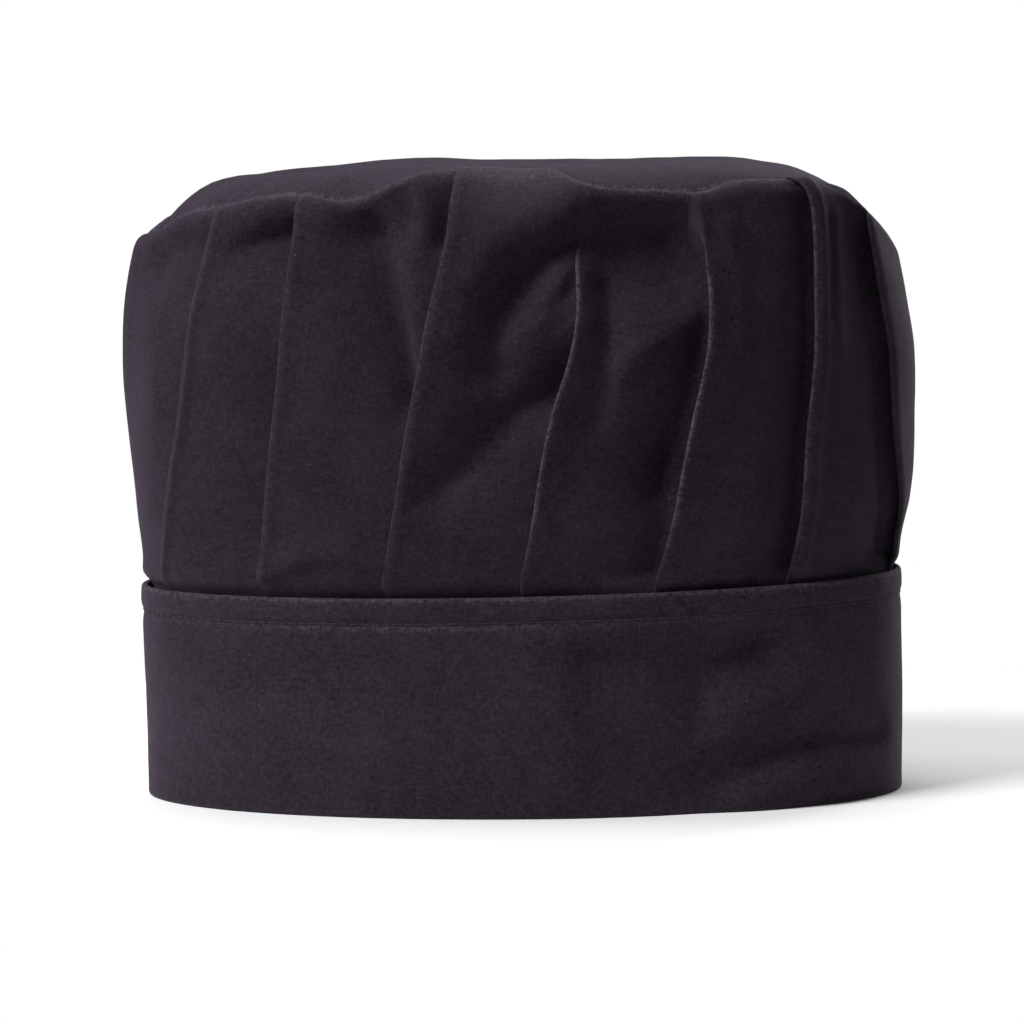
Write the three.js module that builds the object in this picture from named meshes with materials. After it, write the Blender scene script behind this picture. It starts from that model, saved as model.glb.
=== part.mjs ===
// Chef hat: a straight band of doubled cloth with a pleated, slightly slumped crown.
// Millimetres, +Z up. The front of the hat faces -Y, and +X is the right-hand end seen from the front.
// A place on the wall is given by how far along the band it lies from the middle of the front
// (along, positive to the right) and by its height over the lower edge (height).
import * as THREE from 'three';
import { mergeVertices } from 'three/addons/utils/BufferGeometryUtils.js';

// Driving dimensions
const BAND_HALF_WIDTH = 118;
const BAND_HALF_DEPTH = 72;
const BAND_HEIGHT = 67.6;
const BAND_TILT = 1.6;
const BAND_FLARE = 1.4;
const BAND_WALL = 2;
const CROWN_WALL = 1.6;
const TOP_WALL = 1.4;
const SEAM_GAP = 0.3;
const TUCK = 10;
const TOP_HEIGHT = 196.2;
const TOP_EDGE_POWER = 8;
const CLOTH_COLOUR = 0x28222a;
// The middle of the band, seen from the origin under the middle of the whole hat
const BAND_MIDDLE_X = 0.85;
const BAND_MIDDLE_Y = 0.62;

// How finely the cloth is divided
const BAND_COLUMNS = 72;
const FRONT_COLUMNS = 8;
const BACK_COLUMNS = 5;
const WALL_RISES = [
  0, 0.065, 0.095, 0.14, 0.22, 0.31, 0.4, 0.49, 0.57, 0.64, 0.7, 0.76, 0.81, 0.86, 0.9, 0.93, 0.965, 1,
];
const TOP_RINGS = [1, 0.96, 0.89, 0.78, 0.6, 0.36];

// The oval of the crown at a lift over the band's upper edge
const SECTIONS = [
  { lift: -10, halfWidth: 114.2, shift: 0, halfDepth: 68.2 },
  { lift: 0, halfWidth: 114.2, shift: 0, halfDepth: 68.2 },
  { lift: 4, halfWidth: 117.2, shift: -0.8, halfDepth: 70.9 },
  { lift: 10, halfWidth: 118.2, shift: -0.6, halfDepth: 72.2 },
  { lift: 22, halfWidth: 120.2, shift: 0, halfDepth: 73.6 },
  { lift: 46, halfWidth: 121.6, shift: 0, halfDepth: 75.4 },
  { lift: 68, halfWidth: 121.9, shift: 0, halfDepth: 76.2 },
  { lift: 84, halfWidth: 120.6, shift: -0.8, halfDepth: 76 },
  { lift: 97, halfWidth: 118.8, shift: -1.2, halfDepth: 74.8 },
  { lift: 112, halfWidth: 116.2, shift: -1.2, halfDepth: 72.6 },
  { lift: 130, halfWidth: 114.4, shift: -1.2, halfDepth: 70.2 },
];

// The ridge seam round the crown: how high it is, how far it lies in from the wall, and how far
// below it the wall begins to round over
const RIDGE = [
  { along: -303, height: 189, inset: 4, drop: 6 },
  { along: -250, height: 188.5, inset: 4, drop: 6 },
  { along: -205, height: 186.5, inset: 4, drop: 6 },
  { along: -172, height: 180, inset: 4, drop: 6 },
  { along: -151, height: 174.5, inset: 4, drop: 6 },
  { along: -131, height: 176, inset: 3.5, drop: 5 },
  { along: -116, height: 181.2, inset: 3, drop: 4 },
  { along: -99, height: 185, inset: 3, drop: 4 },
  { along: -85, height: 187.8, inset: 3, drop: 4 },
  { along: -70, height: 188.8, inset: 3, drop: 4 },
  { along: -56, height: 187, inset: 3, drop: 4 },
  { along: -47, height: 188.8, inset: 3, drop: 4.5 },
  { along: -36, height: 193.4, inset: 4, drop: 5 },
  { along: -29, height: 195.6, inset: 6, drop: 7 },
  { along: -19, height: 195.9, inset: 16, drop: 18 },
  { along: -8, height: 195.9, inset: 21, drop: 24 },
  { along: 5, height: 195.9, inset: 21, drop: 24 },
  { along: 13, height: 195.7, inset: 17, drop: 18 },
  { along: 20, height: 192.4, inset: 6, drop: 7 },
  { along: 27, height: 190.6, inset: 3, drop: 4.5 },
  { along: 45, height: 189.4, inset: 3, drop: 4 },
  { along: 58, height: 188.6, inset: 3, drop: 4 },
  { along: 72, height: 191.8, inset: 3, drop: 4 },
  { along: 92, height: 191.6, inset: 3, drop: 4 },
  { along: 104, height: 189.6, inset: 3, drop: 4 },
  { along: 116, height: 184.8, inset: 3, drop: 4 },
  { along: 128, height: 177.3, inset: 3.5, drop: 5 },
  { along: 151, height: 170, inset: 4, drop: 6 },
  { along: 172, height: 176.5, inset: 4, drop: 6 },
  { along: 205, height: 185.5, inset: 4, drop: 6 },
  { along: 250, height: 188.5, inset: 4, drop: 6 },
];

// Where each pleat that shows at the front crosses five levels of the wall. All lips face left, so
// the cloth to the right lies over the cloth to the left. A lip stands off by `low` low down and by
// `high` high up, and the cloth comes back to the wall within `reach`. Between the rises `opens` and
// `opened` a pleat opens out into smooth cloth, which may still stand off by `slope`.
const PLEAT_LEVELS = { foot: 0.08, middle: 0.43, upper: 0.67, bend: 0.86, head: 1 };
const FRONT_PLEATS = [
  { foot: -125, middle: -109.3, upper: -102, bend: -99.9, head: -99.2,
    low: 1.6, high: 1.6, reach: 34, opens: 0.93, opened: 1 },
  { foot: -83, middle: -75.4, upper: -71, bend: -70.2, head: -70,
    low: 1.4, high: 1.5, reach: 30, opens: 0.93, opened: 1 },
  { foot: -42.9, middle: -34.6, upper: -27.9, bend: -21.9, head: -19, low: 1.6, high: 2, reach: 22 },
  { foot: -0.6, middle: 7.3, upper: 17, bend: 18.7, head: 19,
    low: 1.8, high: 2.6, reach: 15, opens: 0.78, opened: 0.86, slope: 0.3 },
  { foot: 41, middle: 49.5, upper: 56.6, bend: 56.1, head: 55.5,
    low: 1.6, high: 2.4, reach: 16, opens: 0.68, opened: 0.86, slope: 2.6 },
  { foot: 85.7, middle: 87.2, upper: 91.4, bend: 95.2, head: 91.5, low: 1.5, high: 2.6, reach: 14 },
  { foot: 141, middle: 126.3, upper: 122.8, bend: 121.1, head: 120.5, low: 1.3, high: 1.6, reach: 14 },
];
const BACK_PLEAT_COUNT = 7;
const BACK_PLEAT = { low: 1.3, high: 1.5, reach: 14, opens: 0.93, opened: 1 };

// Folds and hollows of the slumped cloth, in one panel or in some that follow each other (a panel
// has the number of the pleat at its left). Each follows a path of places [along, height] and stands
// off by `push`. `left` and `right` are how wide it is to each side of a path that runs downwards,
// and it ends `narrows` times as wide and as deep as it starts.
const FOLDS = [
  { first: 14, last: 14, left: 6, right: 12, push: -4, path: [[-100, 174], [-111, 172], [-123, 169]] },
  { first: 14, last: 14, left: 9, right: 9, push: 1.2, path: [[-121, 150], [-121, 120], [-126, 95]] },
  {
    first: 1, last: 1, left: 9, right: 14, narrows: 0.8, push: -6,
    path: [[-68, 175], [-80, 174], [-93, 173]],
  },
  { first: 1, last: 1, left: 7, right: 7, push: 1.5, path: [[-74, 151], [-79, 150], [-86, 150]] },
  {
    first: 1, last: 1, left: 13, right: 3, push: -2.6,
    path: [[-74, 132], [-75, 117], [-77, 102], [-80, 85]],
  },
  { first: 2, last: 2, left: 7, right: 7, push: 1.5, path: [[-60, 183], [-60, 178], [-61, 172]] },
  {
    first: 2, last: 2, left: 9.5, right: 3.5, narrows: 0.5, push: -9,
    path: [[-44, 186], [-40, 172], [-38, 160], [-35, 148], [-33, 135], [-32, 127]],
  },
  { first: 2, last: 2, left: 4, right: 2, push: -2.6, path: [[-35, 190], [-33, 184], [-34, 179]] },
  { first: 2, last: 2, left: 3, right: 3, push: 1.4, path: [[-29, 191], [-28, 182], [-29, 172]] },
  { first: 2, last: 2, left: 3, right: 2, push: -3, path: [[-20, 192], [-21, 184], [-22, 174]] },
  {
    first: 2, last: 2, left: 6, right: 2.5, push: 2.4,
    path: [[-44, 74], [-54, 79], [-66, 79], [-80, 73]],
  },
  {
    first: 3, last: 4, left: 11, right: 8, narrows: 0.7, push: -9.5,
    path: [
      [46, 173], [36, 172], [25, 173], [17, 172], [10, 168], [3, 161], [-4, 153], [-7, 145],
      [-8, 137],
    ],
  },
  {
    first: 3, last: 3, left: 7, right: 6, push: 2.4,
    path: [[20, 186], [0, 179], [-10, 171], [-16, 160], [-18, 148]],
  },
  { first: 3, last: 3, left: 3, right: 2, push: -1.4, path: [[16, 159], [9, 155], [3, 152]] },
  { first: 3, last: 3, left: 6, right: 6, narrows: 0.7, push: 3, path: [[14, 164], [3, 151], [-4, 142]] },
  {
    first: 3, last: 3, left: 9, right: 12, narrows: 0.7, push: -8,
    path: [[12, 131], [1, 125], [-7, 119], [-17, 109], [-27, 101]],
  },
  { first: 3, last: 3, left: 9, right: 9, push: 1, path: [[3, 112], [-6, 103], [-15, 94]] },
  { first: 4, last: 4, left: 12, right: 17, push: -4.5, path: [[48, 160], [42, 160], [34, 161]] },
  {
    first: 4, last: 4, left: 9, right: 4, narrows: 0.6, push: -5,
    path: [[29, 168], [29, 154], [27, 143], [24, 131], [22, 121]],
  },
  {
    first: 4, last: 4, left: 9, right: 5, narrows: 0.6, push: 4,
    path: [[54, 151], [43, 146], [34, 141], [28, 133]],
  },
  {
    first: 4, last: 4, left: 12, right: 4, narrows: 0.7, push: -6.5,
    path: [[59, 145], [54.5, 135], [50.5, 124], [46.5, 112], [44, 100]],
  },
  { first: 4, last: 4, left: 24, right: 5, push: -4.2, path: [[46, 108], [45, 95], [43, 74]] },
  { first: 5, last: 5, left: 3, right: 4, push: 1.4, path: [[65, 178], [67, 160], [66, 142]] },
  {
    first: 5, last: 5, left: 6, right: 2, narrows: 1.6, push: -3,
    path: [[96, 182], [95, 170], [93, 155], [90.5, 140], [88, 121], [86.5, 100], [86, 76]],
  },
  { first: 6, last: 6, left: 1.5, right: 1.5, push: -0.8, path: [[104, 180], [102, 167], [98, 151]] },
  { first: 6, last: 6, left: 2, right: 3, push: 1, path: [[107, 180], [104, 163], [100, 142]] },
  {
    first: 6, last: 6, left: 8, right: 3, push: -3,
    path: [[122.5, 173], [123.5, 156], [125, 138], [127.5, 116], [132, 91], [135, 76]],
  },
  { first: 7, last: 7, left: 9, right: 9, push: 1, path: [[131, 160], [134, 130], [140, 100]] },
];
// The sharpest side of a fold that this coarse division of the cloth can show
const FOLD_LEAST_WIDTH = 5;

// Each panel at the back has the same soft hollow under the ridge and the same long swell
const BACK_FOLDS = [
  { side: 0.5, fromHeight: 180, toHeight: 168, lean: 0, left: 8, right: 5, push: -2.4 },
  { side: 0.35, fromHeight: 150, toHeight: 100, lean: -6, left: 9, right: 9, push: 1.2 },
];

// Swells and the middle crease of the band, in the same terms as the folds
const BAND_FOLDS = [
  { left: 3, right: 4, push: 1.1, path: [[16, 62], [17, 8]] },
  { left: 9, right: 8, push: -2, path: [[60, 34], [40, 33], [22, 36]] },
  { left: 8, right: 7, push: 1.4, path: [[104, 30], [70, 26], [44, 20]] },
  { left: 8, right: 7, push: -2.6, path: [[100, 14], [74, 9], [44, 4]] },
  { left: 14, right: 12, push: 0.9, path: [[-30, 20], [-75, 30], [-100, 24]] },
  { left: 10, right: 10, push: -0.7, path: [[-10, 40], [-40, 44], [-80, 42]] },
];

// How rounded the crest of a fold is: 2 is soft, 1 a sharp crease
const FOLD_ROUNDING = 1.6;

// Dents of the top panel, by their middle, spread and depth
const TOP_DENTS = [
  { x: -72, y: 0, spread: 26, push: -3.6 },
  { x: 14, y: 22, spread: 26, push: -1.6 },
  { x: 52, y: -8, spread: 20, push: 0.8 },
];

// General helpers
const mix = (a, b, share) => a + (b - a) * share;
const clamp01 = (value) => Math.min(1, Math.max(0, value));

function ease(share) {
  const s = clamp01(share);
  return s * s * (3 - 2 * s);
}

// The value of a column of a table at a place, on a smooth curve through its rows
function curveAt(rows, key, column, place) {
  let i = 0;
  while (i < rows.length - 2 && place > rows[i + 1][key]) i += 1;
  const before = rows[Math.max(i - 1, 0)];
  const after = rows[Math.min(i + 2, rows.length - 1)];
  const a = rows[i];
  const b = rows[i + 1];
  const span = b[key] - a[key];
  const s = clamp01((place - a[key]) / span);
  const slopeA = (b[column] - before[column]) / (b[key] - before[key]);
  const slopeB = (after[column] - a[column]) / (after[key] - a[key]);
  const s2 = s * s;
  const s3 = s2 * s;
  return a[column] * (2 * s3 - 3 * s2 + 1) + b[column] * (3 * s2 - 2 * s3)
    + span * (slopeA * (s3 - 2 * s2 + s) + slopeB * (s3 - s2));
}

// The table of a closed loop with a few rows repeated before and after, so that its ends meet
function wrapped(rows, key, length) {
  const moved = (part, by) => part.map((row) => ({ ...row, [key]: row[key] + by }));
  return [...moved(rows.slice(-3), -length), ...rows, ...moved(rows.slice(0, 3), length)];
}

// Half of the band's length, measured step by step, and the angle at a place along it
const ARC_STEPS = 720;
const ARC = [{ along: 0, angle: 0 }];
for (let i = 1; i <= ARC_STEPS; i += 1) {
  const angle = (Math.PI * i) / ARC_STEPS;
  const middle = angle - Math.PI / ARC_STEPS / 2;
  const step = Math.hypot(BAND_HALF_WIDTH * Math.cos(middle), BAND_HALF_DEPTH * Math.sin(middle));
  ARC.push({ along: ARC[i - 1].along + (step * Math.PI) / ARC_STEPS, angle });
}
const HALF_GIRTH = ARC[ARC_STEPS].along;
const GIRTH = 2 * HALF_GIRTH;

// A place along the band brought back between minus and plus half of its length
function nearFront(along) {
  return along - GIRTH * Math.round(along / GIRTH);
}

function angleAt(along) {
  const near = nearFront(along);
  const far = Math.abs(near);
  let low = 0;
  let high = ARC_STEPS;
  while (high - low > 1) {
    const middle = Math.floor((low + high) / 2);
    if (ARC[middle].along <= far) low = middle;
    else high = middle;
  }
  const share = (far - ARC[low].along) / (ARC[high].along - ARC[low].along);
  return Math.sign(near) * mix(ARC[low].angle, ARC[high].angle, share);
}

function bandTop(angle) {
  return BAND_HEIGHT + BAND_TILT * Math.sin(angle);
}

// How far a place lies from a path, on which side of it (-1 left, 1 right) and how far down it
function beside(path, place) {
  const nearest = { off: Infinity, side: 0, down: 0 };
  const lengths = path.slice(1).map((b, i) => Math.hypot(b[0] - path[i][0], b[1] - path[i][1]));
  const whole = lengths.reduce((sum, length) => sum + length, 0);
  let passed = 0;
  lengths.forEach((length, i) => {
    const reach = [path[i + 1][0] - path[i][0], path[i + 1][1] - path[i][1]];
    const x = place[0] - path[i][0];
    const y = place[1] - path[i][1];
    const share = clamp01((x * reach[0] + y * reach[1]) / length ** 2);
    const off = Math.hypot(x - share * reach[0], y - share * reach[1]);
    if (off < nearest.off) {
      nearest.off = off;
      nearest.side = (reach[0] * y - reach[1] * x) / (length * Math.max(off, 1e-6));
      nearest.down = (passed + share * length) / whole;
    }
    passed += length;
  });
  return nearest;
}

function foldPush(folds, place) {
  let push = 0;
  for (const fold of folds) {
    const { off, side, down } = beside(fold.path, place);
    const size = mix(1, fold.narrows ?? 1, down);
    const width = Math.max(FOLD_LEAST_WIDTH, mix(fold.left, fold.right, 0.5 + 0.5 * side) * size);
    push += fold.push * size * Math.exp(-((off / width) ** FOLD_ROUNDING));
  }
  return push;
}

// All pleats in order round the crown, the ones at the back at an even pitch
function allPleats() {
  const last = FRONT_PLEATS[FRONT_PLEATS.length - 1];
  const first = FRONT_PLEATS[0];
  const pleats = [...FRONT_PLEATS];
  for (let i = 1; i <= BACK_PLEAT_COUNT; i += 1) {
    const share = i / (BACK_PLEAT_COUNT + 1);
    const row = { ...BACK_PLEAT };
    for (const level of Object.keys(PLEAT_LEVELS)) {
      row[level] = mix(last[level], first[level] + GIRTH, share);
    }
    pleats.push(row);
  }
  return pleats;
}

const PLEATS = allPleats();
const RIDGE_ROUND = wrapped(RIDGE, 'along', GIRTH);

// Where the crease of a pleat lies along the band, at a rise from the tucked edge (0) to the ridge (1)
function creaseAt(index, rise) {
  const turns = Math.floor(index / PLEATS.length);
  const pleat = PLEATS[index % PLEATS.length];
  const rows = Object.entries(PLEAT_LEVELS).map(([name, level]) => ({ level, along: pleat[name] }));
  return curveAt(rows, 'level', 'along', Math.max(rise, PLEAT_LEVELS.foot)) + turns * GIRTH;
}

// The folds of a panel: those of the table, or the plain ones at the back
function panelFolds(index) {
  const own = FOLDS.filter((fold) => fold.first <= index + 1 && index + 1 <= fold.last);
  if (own.length > 0) return own;
  return BACK_FOLDS.map((fold) => {
    const start = mix(creaseAt(index, 1), creaseAt(index + 1, 1), fold.side);
    const path = [[start, fold.fromHeight], [start + fold.lean, fold.toHeight]];
    return { left: fold.left, right: fold.right, push: fold.push, path };
  });
}

const PANEL_FOLDS = PLEATS.map((pleat, index) => panelFolds(index));

// How far a lip stands off the panel below it, in the band, on the wall and at the ridge seam. It
// changes between these over the stretches of the wall's rise named here.
const TUCKED_LIFT = 0.9;
const SEAM_LIFT = 0.5;
const LEAVING_BAND = [0.09, 0.16];
const LOW_TO_HIGH = [0.25, 0.6];
const TO_SEAM = [0.86, 1];
const within = (stretch, rise) => ease((rise - stretch[0]) / (stretch[1] - stretch[0]));

// How far a pleat has opened out into smooth cloth at a rise
function opening(pleat, rise) {
  return pleat.opens === undefined ? 0 : within([pleat.opens, pleat.opened], rise);
}

function lipLift(pleat, rise) {
  const open = opening(pleat, rise);
  const free = mix(mix(pleat.low, pleat.high, within(LOW_TO_HIGH, rise)), pleat.slope ?? 0, open);
  const lift = mix(TUCKED_LIFT, free, within(LEAVING_BAND, rise));
  return mix(lift, SEAM_LIFT * (1 - open), within(TO_SEAM, rise));
}

// How far the panel stands off because its left end lies over its neighbour
function panelLift(index, fromStart, rise) {
  const pleat = PLEATS[index];
  return lipLift(pleat, rise) * (1 - ease(fromStart / pleat.reach));
}

// The share of the wall's rise that is upright, while the rest rounds over to the ridge seam
const UPRIGHT_SHARE = 0.9;
// Half of the width of the step at a crease, folded and opened out, the share of a lip that thickens
// the wall, the lift over the band within which folds begin, and where they end below the ridge
const CREASE_HALF = 0.4;
const OPEN_HALF = 3;
const LIP_THICKENING = 0.4;
const FOLD_START = 6;
const FOLD_END = [0.94, 1];

// A point of the crown's wall, on its outer face (inward 0) or its inner face (inward 1)
function wallPoint(index, across, rise, inward) {
  const halfStep = (pleat) => mix(CREASE_HALF, OPEN_HALF, opening(pleat, rise));
  const begin = creaseAt(index, rise) + halfStep(PLEATS[index]);
  const finish = creaseAt(index + 1, rise) - halfStep(PLEATS[(index + 1) % PLEATS.length]);
  const along = mix(begin, finish, across);
  const headAlong = nearFront(mix(creaseAt(index, 1), creaseAt(index + 1, 1), across));
  const ridge = {};
  for (const column of ['height', 'inset', 'drop']) {
    ridge[column] = curveAt(RIDGE_ROUND, 'along', column, headAlong);
  }
  const angle = angleAt(along);
  const bottom = bandTop(angle) - TUCK;
  const turn = (Math.PI / 2) * clamp01((rise - UPRIGHT_SHARE) / (1 - UPRIGHT_SHARE));
  const upright = mix(bottom, ridge.height - ridge.drop, Math.min(1, rise / UPRIGHT_SHARE));
  const height = upright + ridge.drop * Math.sin(turn);
  const section = {};
  for (const column of ['halfWidth', 'shift', 'halfDepth']) {
    section[column] = curveAt(SECTIONS, 'lift', column, height - bandTop(angle));
  }
  const lift = panelLift(index, along - begin, rise);
  const folds = foldPush(PANEL_FOLDS[index], [nearPanel(along, index), height]);
  const clear = ease((height - bandTop(angle)) / FOLD_START) * (1 - within(FOLD_END, rise));
  const off = lift + folds * clear - inward * (CROWN_WALL + LIP_THICKENING * lift);
  const side = new THREE.Vector2(
    section.halfDepth * Math.sin(angle),
    -section.halfWidth * Math.cos(angle),
  ).normalize();
  const outwards = off * Math.cos(turn) - ridge.inset * (1 - Math.cos(turn));
  return new THREE.Vector3(
    section.shift + section.halfWidth * Math.sin(angle) + side.x * outwards,
    -section.halfDepth * Math.cos(angle) + side.y * outwards,
    height + off * Math.sin(turn),
  );
}

// The place along the band written the way the panel's own folds are
function nearPanel(along, index) {
  return index < FRONT_PLEATS.length ? along : along - (index === PLEATS.length - 1 ? GIRTH : 0);
}

// Closed bodies made of grids of points
function quad(faces, a, b, c, d) {
  faces.push(a, b, c, a, c, d);
}

// A wall that closes on itself: outer and inner are rows of points, lowest row first
function shellRing(outer, inner) {
  const rows = outer.length;
  const columns = outer[0].length;
  const points = [...outer.flat(), ...inner.flat()];
  const faces = [];
  const outside = (row, column) => row * columns + (column % columns);
  const inside = (row, column) => rows * columns + outside(row, column);
  for (let column = 0; column < columns; column += 1) {
    const next = column + 1;
    for (let row = 0; row + 1 < rows; row += 1) {
      const above = row + 1;
      quad(faces, outside(row, column), outside(row, next), outside(above, next), outside(above, column));
      quad(faces, inside(row, next), inside(row, column), inside(above, column), inside(above, next));
    }
    const top = rows - 1;
    quad(faces, inside(0, column), inside(0, next), outside(0, next), outside(0, column));
    quad(faces, outside(top, column), outside(top, next), inside(top, next), inside(top, column));
  }
  return closedBody(points, faces);
}

// A round sheet: upper and lower are rings of points from the edge inwards, each with a middle point
function shellDisc(upper, lower, upperMiddle, lowerMiddle) {
  const rings = upper.length;
  const columns = upper[0].length;
  const points = [...upper.flat(), ...lower.flat(), upperMiddle, lowerMiddle];
  const faces = [];
  const above = (ring, column) => ring * columns + (column % columns);
  const below = (ring, column) => rings * columns + above(ring, column);
  const top = 2 * rings * columns;
  const bottom = top + 1;
  for (let column = 0; column < columns; column += 1) {
    const next = column + 1;
    for (let ring = 0; ring + 1 < rings; ring += 1) {
      quad(faces, above(ring, column), above(ring, next), above(ring + 1, next), above(ring + 1, column));
      quad(faces, below(ring, next), below(ring, column), below(ring + 1, column), below(ring + 1, next));
    }
    faces.push(above(rings - 1, column), above(rings - 1, next), top);
    faces.push(below(rings - 1, next), below(rings - 1, column), bottom);
    quad(faces, below(0, column), below(0, next), above(0, next), above(0, column));
  }
  return closedBody(points, faces);
}

function closedBody(points, faces) {
  const geometry = new THREE.BufferGeometry().setFromPoints(points);
  geometry.setIndex(faces);
  return mergeVertices(geometry, 1e-4);
}

// Band
const BAND_SHARES = [0, 0.12, 0.26, 0.4, 0.54, 0.68, 0.84, 1];
function bandPoint(along, share, inward) {
  const angle = angleAt(along);
  const height = share * bandTop(angle);
  const flare = BAND_FLARE * share ** 2 * Math.max(0, -Math.sin(angle)) ** 4;
  const swell = flare + foldPush(BAND_FOLDS, [nearFront(along), height]) * Math.sin(Math.PI * share);
  const side = new THREE.Vector2(BAND_HALF_DEPTH * Math.sin(angle), -BAND_HALF_WIDTH * Math.cos(angle))
    .normalize().multiplyScalar(swell - inward);
  return new THREE.Vector3(
    BAND_HALF_WIDTH * Math.sin(angle) + side.x,
    -BAND_HALF_DEPTH * Math.cos(angle) + side.y,
    height,
  );
}

function band() {
  const face = (inward) => BAND_SHARES.map((share) => Array.from({ length: BAND_COLUMNS }, (_, column) =>
    bandPoint(((column + 0.5) / BAND_COLUMNS - 0.5) * GIRTH, share, inward)));
  return shellRing(face(0), face(BAND_WALL));
}

// The columns round the crown: the panel each lies in and how far across it
function crownColumns() {
  const columns = [];
  PLEATS.forEach((pleat, index) => {
    const inFront = index < FRONT_PLEATS.length - 1 || index === PLEATS.length - 1;
    const steps = inFront ? FRONT_COLUMNS : BACK_COLUMNS;
    for (let step = 0; step < steps; step += 1) columns.push({ index, across: step / (steps - 1) });
  });
  return columns;
}

const COLUMNS = crownColumns();

// Pleated wall of the crown
function crownSide() {
  const face = (inward) => WALL_RISES.map((rise) =>
    COLUMNS.map(({ index, across }) => wallPoint(index, across, rise, inward)));
  return shellRing(face(0), face(1));
}

// Top panel of the crown
function topHeight(x, y) {
  let height = TOP_HEIGHT;
  for (const dent of TOP_DENTS) {
    height += dent.push * Math.exp(-(Math.hypot(x - dent.x, y - dent.y) ** 2) / dent.spread ** 2);
  }
  return height;
}

function crownTop() {
  const rim = COLUMNS.map(({ index, across }) => wallPoint(index, across, 1, 0));
  const middle = new THREE.Vector3(0, 0, topHeight(0, 0));
  const ring = (share) => rim.map((edge) => {
    const reach = Math.hypot(edge.x, edge.y);
    const scale = (share * (reach - SEAM_GAP)) / reach;
    const x = edge.x * scale;
    const y = edge.y * scale;
    return new THREE.Vector3(x, y, mix(edge.z, topHeight(x, y), 1 - share ** TOP_EDGE_POWER));
  });
  const upper = TOP_RINGS.map(ring);
  const down = (point) => point.clone().setZ(point.z - TOP_WALL);
  const lower = upper.map((points) => points.map(down));
  return shellDisc(upper, lower, middle, down(middle));
}

// Assembly
function clothMaterial(colour) {
  return new THREE.MeshStandardMaterial({ color: colour, roughness: 0.95, metalness: 0 });
}

function piece(name, geometry, colour) {
  const mesh = new THREE.Mesh(geometry, clothMaterial(colour));
  mesh.name = name;
  return mesh;
}

const hat = new THREE.Group();
hat.add(
  piece('band', band(), CLOTH_COLOUR),
  piece('crown_side', crownSide(), CLOTH_COLOUR),
  piece('crown_top', crownTop(), CLOTH_COLOUR),
);
hat.position.set(BAND_MIDDLE_X, BAND_MIDDLE_Y, 0);

export default hat;
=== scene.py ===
"""Chef hat of near-black cotton: a straight doubled band, a knife-pleated crown wall and a slumped top.

The tables and the shape functions are in millimetres and are turned into metres when a mesh is laid
out. A place on the wall is given by how far along the band it lies from the middle of the front
(along, positive to the right) and by its height over the lower edge (height).
"""
import math
from collections import namedtuple

import bpy
import numpy as np
from bpy.props import FloatProperty, FloatVectorProperty, PointerProperty
from mathutils import Matrix, Vector


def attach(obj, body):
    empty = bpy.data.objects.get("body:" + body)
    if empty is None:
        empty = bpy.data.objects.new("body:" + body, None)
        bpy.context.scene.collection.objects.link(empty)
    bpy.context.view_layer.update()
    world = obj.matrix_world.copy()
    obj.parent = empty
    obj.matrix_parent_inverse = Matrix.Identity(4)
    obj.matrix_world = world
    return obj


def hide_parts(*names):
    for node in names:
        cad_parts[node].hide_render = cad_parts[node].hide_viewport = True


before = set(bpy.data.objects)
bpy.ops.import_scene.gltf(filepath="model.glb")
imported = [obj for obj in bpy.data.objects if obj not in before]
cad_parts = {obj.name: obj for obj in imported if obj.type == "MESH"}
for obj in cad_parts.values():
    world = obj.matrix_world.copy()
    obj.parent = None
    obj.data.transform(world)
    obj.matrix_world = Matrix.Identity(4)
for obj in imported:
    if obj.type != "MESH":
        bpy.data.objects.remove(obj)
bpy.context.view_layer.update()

bl_info = {
    "name": "Pleated Chef Hat",
    "version": (1, 0, 0),
    "blender": (4, 5, 0),
    "location": "3D View > Sidebar > Chef Hat",
    "description": "Builds a dark cotton chef hat with a doubled band and a pleated, slumped crown",
    "category": "Add Mesh",
}

MM = 0.001

# The oval of the band and the levels that the crown hangs from
BAND_HALF_WIDTH = 118
BAND_HALF_DEPTH = 72
BAND_HEIGHT = 67.6
BAND_TILT = 1.6
BAND_FLARE = 1.4
BAND_WALL = 2
TUCK = 10
TOP_HEIGHT = 196.2
BAND_MIDDLE = (0.85, 0.62)

Section = namedtuple("Section", "lift half_width shift half_depth")
SECTIONS = [
    Section(-10, 114.2, 0, 68.2),
    Section(0, 114.2, 0, 68.2),
    Section(4, 117.2, -0.8, 70.9),
    Section(10, 118.2, -0.6, 72.2),
    Section(22, 120.2, 0, 73.6),
    Section(46, 121.6, 0, 75.4),
    Section(68, 121.9, 0, 76.2),
    Section(84, 120.6, -0.8, 76),
    Section(97, 118.8, -1.2, 74.8),
    Section(112, 116.2, -1.2, 72.6),
    Section(130, 114.4, -1.2, 70.2),
]

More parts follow.
